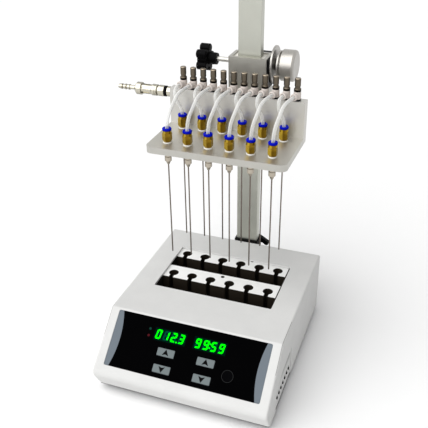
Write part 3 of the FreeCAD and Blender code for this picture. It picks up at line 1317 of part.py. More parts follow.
def make_tube(points, label):
    wire = tube_path(points, label)
    first = wire.Edges[0]
    ring = Part.Wire(Part.makeCircle(TUBE_DIAMETER / 2, first.Vertexes[0].Point,
                                     first.tangentAt(first.FirstParameter)))
    tube = wire.makePipeShell([ring], True, False)
    section = math.pi * TUBE_DIAMETER ** 2 / 4
    if abs(tube.Volume - section * wire.Length) > 0.02 * tube.Volume:
        raise ValueError(label + " has the wrong volume")
    return tube


def port_mouth(x):
    """Where a tube leaves its valve's port."""
    return Vector(x, VALVE_Y, PORT_Z) + port_direction() * (PORT_REACH - 1.6)


def front_route(valve_x, well_x):
    """From an even valve forwards over the rear fittings and down into the front row."""
    mouth = port_mouth(valve_x)
    end = Vector(well_x, FRONT_ROW, FITTING_TOP - 1.6)
    lead = mouth + port_direction() * (0.37 * (mouth.y - end.y))
    drop = end + Vector(0, 0, 15.1)
    halfway = (lead + drop) * 0.5 + Vector(0.2, 0, 0.7)
    return [mouth, lead, halfway, drop, end]


def rear_route(valve_x, well_x):
    """From an odd valve in a short loop down to the fitting just in front of it."""
    mouth = port_mouth(valve_x)
    end = Vector(well_x, REAR_ROW, FITTING_TOP - 1.6)
    lead = mouth + port_direction() * 6.5
    turn = lead + Vector(-0.3, -5.8, -4.9)
    drop = end + Vector(0, 0, 11.6)
    bulge = (turn + drop) * 0.5 + Vector(-1.7, -3.0, 0.3)
    return [mouth, lead, turn, bulge, drop, end]


def make_tubes(route, first_valve, label):
    tubes = []
    for i, well_x in enumerate(WELL_X):
        points = route(VALVE_X[2 * i + first_valve], well_x)
        tubes.append(make_tube(points, "%s tube %d" % (label, i + 1)))
    return tubes


def main():
    os.makedirs("parts", exist_ok=True)
    save("top_cover", make_cover())
    save("base_pan", make_pan())
    save("rubber_feet", *make_feet())
    rear_screws = [shifted(screw, STAND_SHIFT) for screw in bracket_screws()]
    save("base_screws", *(foot_screws() + rear_screws))
    save("panel_overlay", make_overlay())
    save("display_windows", *make_windows())
    save("control_board", *make_board())
    for name, (x, down) in KEYS.items():
        save(name, make_key(x, down))
    save("key_start", make_start_key())
    save_work("heating_block", make_block())
    save_work("temperature_probe", make_probe())
    save_work("heater_plate", make_heater())
    save_work("block_tray", make_tray())
    save("power_board", make_power_board())
    save("power_inlet", make_inlet())
    save("power_rocker", make_rocker())
    save_stand("column_bracket", make_bracket())
    save_stand("column", make_column())
    save_stand("rack", make_rack())
    save_stand("column_cap", make_column_cap())
    save_stand("clamp_knob", make_clamp_knob())
    save_stand("carriage_sleeve", make_sleeve())
    save_stand("slide_liners", *make_liners())
    save_stand("pinion_housing", make_pinion_housing())
    save_stand("pinion_shaft", make_pinion_shaft())
    save_stand("handwheel", make_handwheel())
    save_stand("lock_knob", make_lock_knob())
    save_stand("lock_pad", make_lock_pad())
    save_stand("head_arm", make_arm())
    save_work("needle_plate", make_needle_plate())
    save_work("gas_manifold", make_manifold())
    save_work("head_screws", *head_screws())
    save_work("coupler_socket", make_coupler_socket())
    save_work("coupler_seal", make_coupler_seal())
    save_work("coupler_sleeve", make_coupler_sleeve())
    save_work("hose_plug", make_hose_plug())
    save_work("valve_bases", *make_valve_bases())
    save_work("valve_bodies", *[make_valve_body(x) for x in VALVE_X])
    for i, x in enumerate(VALVE_X):
        save_work("valve_knob_%02d" % (i + 1), make_valve_knob(x))
    places = row_places()
    save_work("fitting_bodies", *[make_fitting(x, y) for x, y in places])
    save_work("release_rings", *[make_release_ring(x, y) for x, y in places])
    save_work("seal_washers", *[make_washer(x, y) for x, y in places])
    save_work("needle_hubs", *[make_hub(x, y) for x, y in places])
    save_work("needles", *[make_needle(x, y) for x, y in places])
    save_work("gas_tubes_front", *make_tubes(front_route, 1, "front"))
    save_work("gas_tubes_rear", *make_tubes(rear_route, 0, "rear"))


main()
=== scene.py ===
import math

import bmesh
import bpy
from mathutils import Matrix, Vector


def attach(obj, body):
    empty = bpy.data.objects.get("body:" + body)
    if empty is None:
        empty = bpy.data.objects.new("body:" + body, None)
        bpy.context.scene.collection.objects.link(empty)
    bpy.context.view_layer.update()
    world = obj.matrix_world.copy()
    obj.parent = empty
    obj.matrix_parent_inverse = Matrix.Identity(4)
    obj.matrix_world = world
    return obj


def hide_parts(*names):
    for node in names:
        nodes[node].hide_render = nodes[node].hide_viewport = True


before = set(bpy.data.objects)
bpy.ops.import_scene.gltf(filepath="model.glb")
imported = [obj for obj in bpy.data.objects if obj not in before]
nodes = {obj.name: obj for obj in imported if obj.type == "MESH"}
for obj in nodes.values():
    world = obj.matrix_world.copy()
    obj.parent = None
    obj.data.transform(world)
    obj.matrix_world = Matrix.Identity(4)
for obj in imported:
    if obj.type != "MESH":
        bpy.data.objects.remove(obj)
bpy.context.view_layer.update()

# Camera
# The view of the photograph: a little above the object and to its right, with a normal lens.
# Its place comes from a fit of the wells, the window, the panel and the fittings.
camera_data = bpy.data.cameras.new("photo_view")
camera_data.sensor_width = 36.0
camera_data.lens = 56.06
camera = bpy.data.objects.new("photo_view", camera_data)
camera.location = (0.23132, -0.61747, 0.5730)
camera.rotation_euler = (math.radians(60.326), math.radians(0.647), math.radians(20.049))
bpy.context.scene.collection.objects.link(camera)
bpy.context.scene.camera = camera
bpy.context.scene.view_settings.view_transform = "Standard"

# Gas tubes
# Twelve short soft tubes of 4 mm bring gas from the valves to the fittings. Each leaves its valve
# 15 degrees to the left of straight ahead; six reach over to the front row of fittings, and six
# drop in a short loop to the rear row. They are milky, and a little of what is behind shows.
work_x = -0.0018              # the gas head's middle plane
well_count, well_pitch = 6, 0.025
valve_count, valve_pitch, valve_shift = 12, 0.0126, 0.0024
well_x = [work_x + (i - 2.5) * well_pitch for i in range(well_count)]
valve_x = [work_x + valve_shift + (i - 5.5) * valve_pitch for i in range(valve_count)]
front_row, rear_row, valve_row = 0.0265, 0.0731, 0.0910
port_height, port_reach, fitting_mouth = 0.3154, 0.0076, 0.2794
port_turn = math.radians(15)
port_way = Vector((-math.sin(port_turn), -math.cos(port_turn), 0))
tube_radius, front_length, rear_length = 0.002, 0.0769, 0.0467
front_lead, front_drop, front_lift = 0.37, Vector((0, 0, 0.0151)), Vector((0.0002, 0, 0.0007))
rear_lead, rear_turn = 0.0065, Vector((-0.0003, -0.0058, -0.0049))
rear_drop, rear_bulge = Vector((0, 0, 0.0116)), Vector((-0.0017, -0.0030, 0.0003))
milk_white = (0.84, 0.84, 0.82)
thin_milk, dense_milk = 0.36, 0.93    # how far the wall hides what is behind: ahead, and edge on


def link(name, data):
    piece = bpy.data.objects.new(name, data)
    bpy.context.scene.collection.objects.link(piece)
    return piece


def shader(name):
    """A new material, with its node tree and its Principled shader."""
    made = bpy.data.materials.new(name)
    made.use_nodes = True
    tree = made.node_tree
    return made, tree, tree.nodes["Principled BSDF"]


def feed(tree, socket, source):
    """Links a socket to an output, or gives it a plain value."""
    if isinstance(source, bpy.types.NodeSocket):
        tree.links.new(source, socket)
    else:
        socket.default_value = source


def add(tree, kind, inputs=None, **values):
    """Adds a node; values are its properties, inputs are plain values or other nodes' outputs."""
    node = tree.nodes.new(kind)
    for key, value in values.items():
        setattr(node, key, value)
    for key, source in (inputs or {}).items():
        feed(tree, node.inputs[key], source)
    return node


def reckon(tree, operation, *values):
    """One sum on numbers that change over the surface."""
    return add(tree, "ShaderNodeMath", dict(enumerate(values)), operation=operation).outputs[0]


def spread(tree, value, low, high, from_low, from_high):
    """Turns a value from one span into another, and stays inside it."""
    node = add(tree, "ShaderNodeMapRange", {0: value, 1: low, 2: high, 3: from_low, 4: from_high})
    return node.outputs[0]


def effect(name, inputs, outputs):
    """A node group for an effect that several finishes share."""
    tree = bpy.data.node_groups.new(name, "ShaderNodeTree")
    for label, kind, value in inputs:
        socket = tree.interface.new_socket(label, in_out="INPUT", socket_type=kind)
        socket.default_value = value
    for label, kind in outputs:
        tree.interface.new_socket(label, in_out="OUTPUT", socket_type=kind)
    return tree, tree.nodes.new("NodeGroupInput"), tree.nodes.new("NodeGroupOutput")


def surface(tree, given, result, colour_tone, rough_swing, pattern, depth):
    """The end of a finish: its tone over the colour, its roughness, and its relief as a bump."""
    swing = reckon(tree, "MULTIPLY_ADD", colour_tone, given.outputs["Contrast"], 1.0)
    shade = add(tree, "ShaderNodeVectorMath", {0: given.outputs["Colour"], "Scale": swing},
                operation="SCALE")
    rough = reckon(tree, "MULTIPLY_ADD", colour_tone, rough_swing, given.outputs["Roughness"])
    bump = add(tree, "ShaderNodeBump", {"Height": pattern, "Strength": given.outputs["Height"],
                                        "Distance": depth})
    tree.links.new(shade.outputs["Vector"], result.inputs["Colour"])
    tree.links.new(rough, result.inputs["Roughness"])
    tree.links.new(bump.outputs[0], result.inputs["Normal"])


def mottled():
    """Fine grain over soft patches: colour, roughness and normal of moulded or painted faces."""
    patch_scale, rough_swing, grain_depth = 45.0, 0.12, 0.0001
    tree, given, result = effect(
        "mottled",
        [("Colour", "NodeSocketColor", (1, 1, 1, 1)), ("Grain", "NodeSocketFloat", 2500.0),
         ("Contrast", "NodeSocketFloat", 0.06), ("Roughness", "NodeSocketFloat", 0.5),
         ("Height", "NodeSocketFloat", 0.1)],
        [("Colour", "NodeSocketColor"), ("Roughness", "NodeSocketFloat"),
         ("Normal", "NodeSocketVector")])
    place = add(tree, "ShaderNodeTexCoord").outputs["Object"]
    grain = add(tree, "ShaderNodeTexNoise", {"Vector": place, "Scale": given.outputs["Grain"],
                                             "Detail": 3.0, "Roughness": 0.6})
    patch = add(tree, "ShaderNodeTexNoise", {"Vector": place, "Scale": patch_scale,
                                             "Detail": 4.0})
    both = reckon(tree, "ADD", grain.outputs["Fac"], patch.outputs["Fac"])
    surface(tree, given, result, reckon(tree, "SUBTRACT", both, 1.0), rough_swing,
            grain.outputs["Fac"], grain_depth)
    return tree


mottled_finish = mottled()


def use(tree, group, **values):
    """Puts a finish into a material and sets its inputs."""
    node = tree.nodes.new("ShaderNodeGroup")
    node.node_tree = group
    for key, value in values.items():
        feed(tree, node.inputs[key], value)
    return node


def dress(tree, face, look, colour=None):
    """Links a finish to the shader; a colour given here takes the place of the finish's own."""
    if colour is None:
        colour = look.outputs["Colour"]
    tree.links.new(colour, face.inputs["Base Color"])
    tree.links.new(look.outputs["Roughness"], face.inputs["Roughness"])
    tree.links.new(look.outputs["Normal"], face.inputs["Normal"])


def moulded(name, colour, roughness=0.45, grain=2500.0, contrast=0.08, height=0.15,
            specular=0.5):
    """A moulded or painted finish."""
    made, tree, face = shader(name)
    dress(tree, face, use(tree, mottled_finish, Colour=(*colour, 1), Grain=grain,
                          Contrast=contrast, Roughness=roughness, Height=height))
    face.inputs["Specular IOR Level"].default_value = specular
    return made


def tube_plastic():
    """Milky soft plastic: clearer where it is looked through, denser along its edges."""
    made = moulded("milky_tube", milk_white, 0.3, 900.0, 0.05, 0.05)
    tree = made.node_tree
    facing = add(tree, "ShaderNodeLayerWeight", {"Blend": 0.5}).outputs["Facing"]
    tree.links.new(spread(tree, facing, 0.1, 0.7, thin_milk, dense_milk),
                   tree.nodes["Principled BSDF"].inputs["Alpha"])
    return made


milky_tube = tube_plastic()


def gas_tube(name, points, node):
    line = bpy.data.curves.new(name, "CURVE")
    line.dimensions = "3D"
    line.bevel_depth = tube_radius
    line.bevel_resolution = 6
    line.resolution_u = 16
    line.use_fill_caps = True
    spline = line.splines.new("NURBS")
    spline.points.add(len(points) - 1)
    for point, place in zip(spline.points, points):
        point.co = (*place, 1)
    spline.order_u = 3
    spline.use_endpoint_u = True
    line.materials.append(milky_tube)
    tube = link(name, line)
    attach(tube, "carriage")
    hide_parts(node)


for i, x in enumerate(well_x):
    mouth = Vector((valve_x[2 * i + 1], valve_row, port_height)) + port_way * port_reach
    end = Vector((x, front_row, fitting_mouth))
    lead = mouth + port_way * (front_lead * (mouth.y - end.y))
    drop = end + front_drop
    halfway = (lead + drop) * 0.5 + front_lift
    gas_tube("front_tube_%d" % (i + 1), [mouth, lead, halfway, drop, end],
             "gas_tubes_front")
    mouth = Vector((valve_x[2 * i], valve_row, port_height)) + port_way * port_reach
    end = Vector((x, rear_row, fitting_mouth))
    lead = mouth + port_way * rear_lead
    turn = lead + rear_turn
    drop = end + rear_drop
    bulge = (turn + drop) * 0.5 + rear_bulge
    gas_tube("rear_tube_%d" % (i + 1), [mouth, lead, turn, bulge, drop, end],
             "gas_tubes_rear")


# Top cover
# One moulded shell, off-white, matt and slightly speckled. Seven round vents in a shallow scoop
# low in each side are painted near-black inside as shade, and a band of painted shade lies under
# the scoop's lip.
# Painted shade: a dark colour for the band under the scoop's lip, and below it a near-black for
# inside the vents.
cover_white, lip_shade_colour = (0.64, 0.64, 0.63, 1), (0.05, 0.045, 0.045, 1)
vent_shade_colour = (0.004, 0.004, 0.004, 1)
scoop_face, wall_inside = 0.1038, 0.1037      # the scoop's face, and what lies inwards of it
face_reach = 0.0002                           # how near to that face counts as on it
vent_y, vent_z, vents_reach, vent_reach = -0.0566, 0.0237, 0.036, 0.004
# Where the band of painted shade under the lip lies, how high it reaches, and how dark it gets.
scoop_y, scoop_reach, lip_shade_low, lip_shade_high, lip_shade_depth = -0.0575, 0.0335, 0.034, 0.047, 0.8


def wear(node, material):
    """Gives a CAD node its finish."""
    slots = nodes[node].data.materials
    slots.clear()
    slots.append(material)


def place_on_part(tree):
    """Where a point lies on the part, as separate X, Y and Z."""
    place = add(tree, "ShaderNodeTexCoord").outputs["Object"]
    return add(tree, "ShaderNodeSeparateXYZ", {0: place}).outputs


def within(tree, value, centre, reach):
    """1 where a value is no farther than reach from centre, and 0 elsewhere."""
    return reckon(tree, "COMPARE", value, centre, reach)


def blend(tree, amount, first, second):
    """The first colour, and the second one over it by an amount from 0 to 1."""
    node = add(tree, "ShaderNodeMix", {"Factor": amount, 6: first, 7: second}, data_type="RGBA")
    return node.outputs[2]


def cover_coat():
    """Off-white, with painted shade within the vents and in a band under the scoop's lip."""
    made, tree, face = shader("off_white_coat")
    place = place_on_part(tree)
    # Painted shade inside the vents: the inner faces round them turn near-black.
    inside = reckon(tree, "MULTIPLY", within(tree, place["X"], 0.0, wall_inside),
                    within(tree, place["Z"], vent_z, vent_reach))
    inside = reckon(tree, "MULTIPLY", inside, within(tree, place["Y"], vent_y, vents_reach))
    # Painted shade in a band under the scoop's lip, darkest just under the lip.
    band = spread(tree, place["Z"], lip_shade_low, lip_shade_high, 0.0, lip_shade_depth)
    outwards = reckon(tree, "ABSOLUTE", place["X"])
    band = reckon(tree, "MULTIPLY", band, within(tree, outwards, scoop_face, face_reach))
    band = reckon(tree, "MULTIPLY", band, within(tree, place["Y"], scoop_y, scoop_reach))
    coat = use(tree, mottled_finish, Colour=cover_white, Grain=1600.0, Contrast=0.10,
               Roughness=0.6, Height=0.35)
    lip_shaded_coat = blend(tree, band, coat.outputs["Colour"], lip_shade_colour)
    dress(tree, face, coat, blend(tree, inside, lip_shaded_coat, vent_shade_colour))
    face.inputs["Specular IOR Level"].default_value = 0.15
    return made


wear("top_cover", cover_coat())

# Vent grommets
# A black rubber grommet lines each round vent and stands a millimetre out of the scoop. One is
# turned from its profile and a node tree repeats it along the row. The profile, the foremost
# vent and the pitch are in millimetres.
grommet_profile = [(0.90, -2.5), (1.63, -2.5), (1.63, 0.85), (1.45, 1.15), (1.05, 1.18),
                   (0.90, 1.05)]
vent_count, vent_first, vent_pitch, grommet_steps = 7, -81.8, 8.4, 24
vent_rubber = moulded("vent_rubber", (0.002, 0.002, 0.002), 0.6, 1200.0, 0.25, 0.3, specular=0.03)


def even_row():
    """A node tree that repeats a piece at even steps toward the rear."""
    tree = bpy.data.node_groups.new("even_row", "GeometryNodeTree")
    for label, kind in (("Piece", "NodeSocketGeometry"), ("Count", "NodeSocketInt"),
                        ("Pitch", "NodeSocketFloat"), ("Material", "NodeSocketMaterial")):
        tree.interface.new_socket(label, in_out="INPUT", socket_type=kind)
    tree.interface.new_socket("Row", in_out="OUTPUT", socket_type="NodeSocketGeometry")
    given = tree.nodes.new("NodeGroupInput").outputs
    step = add(tree, "ShaderNodeCombineXYZ", {"Y": given["Pitch"]})
    line = add(tree, "GeometryNodeMeshLine", {"Count": given["Count"],
                                              "Offset": step.outputs[0]})
    row = add(tree, "GeometryNodeInstanceOnPoints", {"Points": line.outputs["Mesh"],
                                                     "Instance": given["Piece"]})
    pieces = add(tree, "GeometryNodeRealizeInstances", {"Geometry": row.outputs["Instances"]})
    coated = add(tree, "GeometryNodeSetMaterial", {"Geometry": pieces.outputs["Geometry"],
                                                   "Material": given["Material"]})
    result = tree.nodes.new("NodeGroupOutput")
    tree.links.new(coated.outputs["Geometry"], result.inputs["Row"])
    return tree


def first_grommet(side):
    """The foremost grommet of one side, turned from its profile."""
    corners, faces = [], []
    for k in range(grommet_steps):
        turn = math.tau * k / grommet_steps
        for radius, out in grommet_profile:
            corners.append((side * (scoop_face + out / 1000),
                            (vent_first + radius * math.cos(turn)) / 1000,
                            vent_z + radius * math.sin(turn) / 1000))
    count = len(grommet_profile)
    for k in range(grommet_steps):
        ring, after = k * count, (k + 1) % grommet_steps * count
        for j in range(count):
            following = (j + 1) % count
            faces.append((ring + j, ring + following, after + following, after + j))
    mesh = bpy.data.meshes.new("grommet")
    mesh.from_pydata(corners, [], faces)
    shape = bmesh.new()
    shape.from_mesh(mesh)
    bmesh.ops.recalc_face_normals(shape, faces=shape.faces)
    shape.to_mesh(mesh)
    shape.free()
    return mesh


def grommet_row(name, side, tree):
    """The grommets of one side as one plain mesh."""
    first = link("first_grommet", first_grommet(side))
    row = first.modifiers.new("row", "NODES")
    row.node_group = tree
    sizes = {"Count": vent_count, "Pitch": vent_pitch / 1000, "Material": vent_rubber}
    for socket in tree.interface.items_tree:
        if socket.name in sizes:
            row[socket.identifier] = sizes[socket.name]
    made = first.evaluated_get(bpy.context.evaluated_depsgraph_get())
    piece = link(name, bpy.data.meshes.new_from_object(made))
    single = first.data
    bpy.data.objects.remove(first)
    bpy.data.meshes.remove(single)
    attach(piece, "base_unit")


vent_row = even_row()
grommet_row("vent_grommets_left", -1, vent_row)
grommet_row("vent_grommets_right", 1, vent_row)

# Base pan, feet and screws
# A dark painted steel floor closes the cover from below and stands on four rubber feet. Steel
# screws hold the feet, the stand's socket and the rack.
wear("base_pan", moulded("pan_paint", (0.035, 0.035, 0.04), 0.5, 1800.0, 0.1, 0.3, specular=0.2))
wear("rubber_feet", moulded("foot_rubber", (0.022, 0.022, 0.022), 0.75, 1200.0, 0.25, 0.5))


def brushed():
    """Fine parallel lines along one axis: colour, roughness and normal of worked metal."""
    patch_scale, rough_swing, line_depth = 70.0, 0.25, 0.00005
    tree, given, result = effect(
        "brushed",
        [("Colour", "NodeSocketColor", (1, 1, 1, 1)), ("Lines", "NodeSocketVector", (60, 60, 4000)),
         ("Contrast", "NodeSocketFloat", 0.15), ("Roughness", "NodeSocketFloat", 0.3),
         ("Height", "NodeSocketFloat", 0.1)],
        [("Colour", "NodeSocketColor"), ("Roughness", "NodeSocketFloat"),
         ("Normal", "NodeSocketVector")])
    place = add(tree, "ShaderNodeTexCoord").outputs["Object"]
    drawn = add(tree, "ShaderNodeVectorMath", {0: place, 1: given.outputs["Lines"]},
                operation="MULTIPLY")
    lines = add(tree, "ShaderNodeTexNoise", {"Vector": drawn.outputs[0], "Scale": 1.0,
                                             "Detail": 4.0, "Roughness": 0.65})
    patch = add(tree, "ShaderNodeTexNoise", {"Vector": place, "Scale": patch_scale,
                                             "Detail": 3.0})
    both = reckon(tree, "ADD", lines.outputs["Fac"], patch.outputs["Fac"])
    surface(tree, given, result, reckon(tree, "SUBTRACT", both, 1.0), rough_swing,
            lines.outputs["Fac"], line_depth)
    return tree


brushed_finish = brushed()


def rim(tree, colour, dark):
    """Painted reflection: darkens a colour where the face turns away from the view, as round metal
    mirrors a dark room.
    """
    facing = add(tree, "ShaderNodeLayerWeight", {"Blend": 0.5}).outputs["Facing"]
    shade = add(tree, "ShaderNodeVectorMath",
                {0: colour, "Scale": spread(tree, facing, 0.2, 0.85, 1.0, 1.0 - dark)},
                operation="SCALE")
    return shade.outputs["Vector"]


def metal(name, colour, roughness=0.3, lines=(60, 60, 4000), contrast=0.12, height=0.12,
          dark=0.0):
    """A worked metal; lines is how finely it is marked along each axis, dark is how far its
    turning edges darken as painted reflection."""
    made, tree, face = shader(name)
    look = use(tree, brushed_finish, Colour=(*colour, 1), Lines=lines, Contrast=contrast,
               Roughness=roughness, Height=height)
    dress(tree, face, look, rim(tree, look.outputs["Colour"], dark) if dark else None)
    face.inputs["Metallic"].default_value = 1.0
    return made


screw_steel = metal("screw_steel", (0.56, 0.56, 0.56), 0.3, (2500, 2500, 60))
wear("base_screws", screw_steel)

# Control panel
# A black film in a shallow recess of the slope, with a grey crescent at each end. Two tinted
# windows let the digits through, and the keys come up through holes in the film.
panel_top = Vector((0, -0.0650, 0.0880))
panel_tilt = math.radians(41)
panel_frame = Matrix.Translation(panel_top) @ Matrix.Rotation(panel_tilt, 4, "X")
film_black, crescent_grey = (0.0012, 0.0012, 0.0014, 1), (0.15, 0.175, 0.20, 1)
slope_per_depth, slope_shift = 1.325, -0.1214     # turn a depth into a way along the film
crescent_start, crescent_bow = 0.0833, 4.4        # half width at the middle, and how it widens


def on_panel(x, down, out=0.0):
    """A point of the panel in millimetres: across, down the slope and out of it."""
    return panel_frame @ Vector((x / 1000, -down / 1000, out / 1000))


def overlay_film():
    """Black between two arcs that bow towards each other, and grey beyond them."""
    made, tree, face = shader("overlay_film")
    place = place_on_part(tree)
    down = reckon(tree, "MULTIPLY_ADD", place["Y"], -slope_per_depth, slope_shift)
    edge = reckon(tree, "MULTIPLY_ADD", reckon(tree, "POWER", down, 2.0), crescent_bow,
                  crescent_start)
    outside = reckon(tree, "GREATER_THAN", reckon(tree, "ABSOLUTE", place["X"]), edge)
    black = use(tree, mottled_finish, Colour=film_black, Grain=2200.0, Contrast=0.3,
                Roughness=0.45, Height=0.1)
    grey = use(tree, mottled_finish, Colour=crescent_grey, Grain=2200.0, Contrast=0.12,
               Roughness=0.4, Height=0.1)
    dress(tree, face, black, blend(tree, outside, black.outputs["Colour"],
                                   grey.outputs["Colour"]))
    face.inputs["Specular IOR Level"].default_value = 0.0
    return made


wear("panel_overlay", overlay_film())
wear("display_windows", moulded("tinted_window", (0.0, 0.0085, 0.0055), 0.4, 2500.0, 0.15, 0.02,
                                specular=0.0))
wear("control_board", moulded("circuit_board", (0.02, 0.12, 0.05), 0.5, 900.0, 0.3, 0.2))

# Display digits
# Each display shows four seven-segment digits that lean a little to the right. Lit segments glow
# green; the others are a dull sea green with a faint painted glow. They lie just over the face of
# the window.
figure_segments = {"0": "abcdef", "1": "bc", "2": "abged", "3": "abgcd", "5": "afgcd",
                   "9": "abcdfg"}
display_x, display_down, digit_pitch, digit_level = 24.2, 20.2, 9.35, -0.47
digit_width, digit_height, stroke, lean, mitre_gap, corner_cut = 6.4, 11.0, 1.9, 0.14, 0.1, 0.5
dot_radius = 0.95


def segment(name):
    """The corners of one mitred segment of a digit, about the digit's middle."""
    w, h, t = digit_width / 2, digit_height / 2, stroke
    if name == "g":
        tip, reach, thick = w - t / 2 - mitre_gap, w - t, t / 2
        return [(-tip, 0), (-reach, thick), (reach, thick), (tip, 0), (reach, -thick),
                (-reach, -thick)]
    if name in "ad":
        shape = [(-w + corner_cut, h), (w - corner_cut, h), (w - t, h - t), (-w + t, h - t)]
    else:
        shape = [(w, h - corner_cut), (w, mitre_gap), (w - t / 2, mitre_gap),
                 (w - t, t / 2 + mitre_gap), (w - t, h - t - mitre_gap)]
    side = -1 if name in "ef" else 1
    level = -1 if name in "cde" else 1
    return [(side * x, level * y) for x, y in shape]


def disc(x, down, radius, steps):
    """The outline of a small round mark on the panel."""
    turns = [math.tau * k / steps for k in range(steps)]
    return [(x + radius * math.cos(turn), down - radius * math.sin(turn)) for turn in turns]


def lay_flat(name, outlines, material, body, out):
    """Flat shapes laid on the panel, each a list of (across, down) corners."""
    mesh = bpy.data.meshes.new(name)
    corners, faces = [], []
    for outline in outlines:
        faces.append(list(range(len(corners), len(corners) + len(outline))))
        corners += [on_panel(x, down, out) for x, down in outline]
    mesh.from_pydata(corners, [], faces)
    up = panel_frame.to_3x3() @ Vector((0, 0, 1))
    if mesh.polygons[0].normal.dot(up) < 0:
        mesh.flip_normals()
    mesh.materials.append(material)
    piece = link(name, mesh)
    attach(piece, body)


def glowing(name, colour, strength):
    """A segment that shines in its own colour."""
    made, tree, face = shader(name)
    look = use(tree, mottled_finish, Colour=(*colour, 1), Grain=3000.0, Contrast=0.06,
               Roughness=0.4, Height=0.0)
    tree.links.new(look.outputs["Colour"], face.inputs["Base Color"])
    tree.links.new(look.outputs["Colour"], face.inputs["Emission Color"])
    tree.links.new(look.outputs["Roughness"], face.inputs["Roughness"])
    face.inputs["Emission Strength"].default_value = strength
    face.inputs["Specular IOR Level"].default_value = 0.0
    return made


lit, unlit = [], []
for display, shown in ((-display_x, "0123"), (display_x, "9959")):
    for i, figure in enumerate(shown):
        middle = display + (i - 1.5) * digit_pitch
        for name in "abcdefg":
            outline = [(middle + x + lean * y, display_down - y) for x, y in segment(name)]
            (lit if name in figure_segments[figure] else unlit).append(outline)
point_x, point_down = -display_x + 0.5 * digit_pitch + 3.9, 25.0
lit.append(disc(point_x, point_down, dot_radius, 12))
colon_x, colon_rise, colon_lean = 24.3, 2.2, 0.3
for level in (-1, 1):
    lit.append(disc(colon_x + colon_lean * level, display_down - colon_rise * level, dot_radius,
                    12))
lay_flat("lit_segments", lit, glowing("lit_green", (0.001, 0.70, 0.001), 1.0), "base_unit",
         digit_level)
# The unlit segments get a faint painted glow.
lay_flat("unlit_segments", unlit, glowing("unlit_green_painted_glow", (0.0, 0.045, 0.026), 0.3), "base_unit",
         digit_level)

# Status lamps
# Two small round lenses left of the first display, a green one over a red one. Both are nearly
# dark, so they don't glow.
lamp_x, lamp_radius, lamp_level = -50, 1.5, -0.05
for name, down, colour in (("lamp_green", 16.1, (0.0, 0.03, 0.02)),
                           ("lamp_red", 23.9, (0.055, 0.0, 0.003))):
    lens = disc(lamp_x, down, lamp_radius, 16)
    lay_flat(name, [lens], moulded(name, colour, 0.4, specular=0.05), "base_unit",
             lamp_level)

# Keys
# Grey moulded caps; each carries a printed black arrowhead. The round start key is dark, with a
# thin pale ring round its edge.
key_x, upper_down, lower_down, mark_level = 24.1, 39.0, 57.9, 0.115
arrowhead = [(0, 3.9), (4.0, -3.2), (0, -1.8), (-4.0, -3.2)]
key_grey = moulded("key_grey", (0.150, 0.177, 0.182), 0.5, 2000.0, 0.08, 0.2, specular=0.1)
print_black = moulded("print_black", (0.002, 0.002, 0.002), 0.5, specular=0.02)
for name, x in (("temperature", -key_x), ("time", key_x)):
    for way, down, up in (("up", upper_down, 1), ("down", lower_down, -1)):
        key = "key_%s_%s" % (name, way)
        wear(key, key_grey)
        arrow = [(x + across, down - up * rise) for across, rise in arrowhead]
        lay_flat("arrow_%s_%s" % (name, way), [arrow], print_black, key, mark_level)
wear("key_start", moulded("start_key_dark", (0.0022, 0.0022, 0.0026), 0.45, 2000.0, 0.2, 0.2,
                          specular=0.0))
start_x, start_down, ring_inner, ring_outer, ring_steps = 52.2, 47.9, 6.35, 6.75, 48
inner = disc(start_x, start_down, ring_inner, ring_steps)
outer = disc(start_x, start_down, ring_outer, ring_steps)
ring = [(inner[k - 1], outer[k - 1], outer[k], inner[k]) for k in range(ring_steps)]
lay_flat("start_key_ring", ring, moulded("ring_print", (0.024, 0.025, 0.025), 0.5, specular=0.02),
         "key_start", mark_level)

# Heating block
# Two milled aluminium bars in one piece with a base, drilled for 12 tubes; a slot in front of
# each well shows the tube. It sits in a dark heat-proof cup over the heater.
block_top = max(corner[2] for corner in nodes["heating_block"].bound_box)
# Painted shade: below the bar tops the block takes a near-black colour for the shade it lies in.
milled_bright, side_shade_colour = (0.86, 0.86, 0.85, 1), (0.018, 0.014, 0.010, 1)
milled_depth, milled_shine = 0.0004, 0.25


def block_finish():
    """Painted shade: every face but the tops of the bars is near-black for the shade on the sides
    and in the slots; the tops are milled bright.
    """
    made, tree, face = shader("milled_block")
    top = reckon(tree, "GREATER_THAN", place_on_part(tree)["Z"], block_top - milled_depth)
    bright = use(tree, brushed_finish, Colour=milled_bright, Lines=(3000, 60, 60),
                 Contrast=0.06, Roughness=0.5, Height=0.1)
    dark = use(tree, mottled_finish, Colour=side_shade_colour, Grain=1500.0, Contrast=0.4,
               Roughness=0.5, Height=0.2)
    dress(tree, face, bright, blend(tree, top, dark.outputs["Colour"], bright.outputs["Colour"]))
    tree.links.new(reckon(tree, "MULTIPLY", top, milled_shine), face.inputs["Metallic"])
    face.inputs["Specular IOR Level"].default_value = 0.1
    return made


wear("heating_block", block_finish())
wear("block_tray", moulded("cup_moulding", (0.012, 0.010, 0.008), 0.6, 1500.0, 0.2, 0.3,
                           specular=0.1))
wear("heater_plate", moulded("heater_sheet", (0.30, 0.13, 0.04), 0.6))
wear("temperature_probe", screw_steel)
wear("power_board", moulded("power_board", (0.03, 0.14, 0.06), 0.5, 900.0, 0.3, 0.2))

# Mains inlet
# A black moulded socket with a fuse drawer and a switch, in the rear wall. The rear isn't seen,
# so it is the plain usual kind, and no lead is plugged into it.
black_moulding = moulded("black_moulding", (0.0028, 0.0028, 0.003), 0.45, 2200.0, 0.25, 0.25,
                         specular=0.06)
wear("power_inlet", black_moulding)
wear("power_rocker", moulded("rocker_gloss", (0.006, 0.006, 0.007), 0.25, specular=0.2))

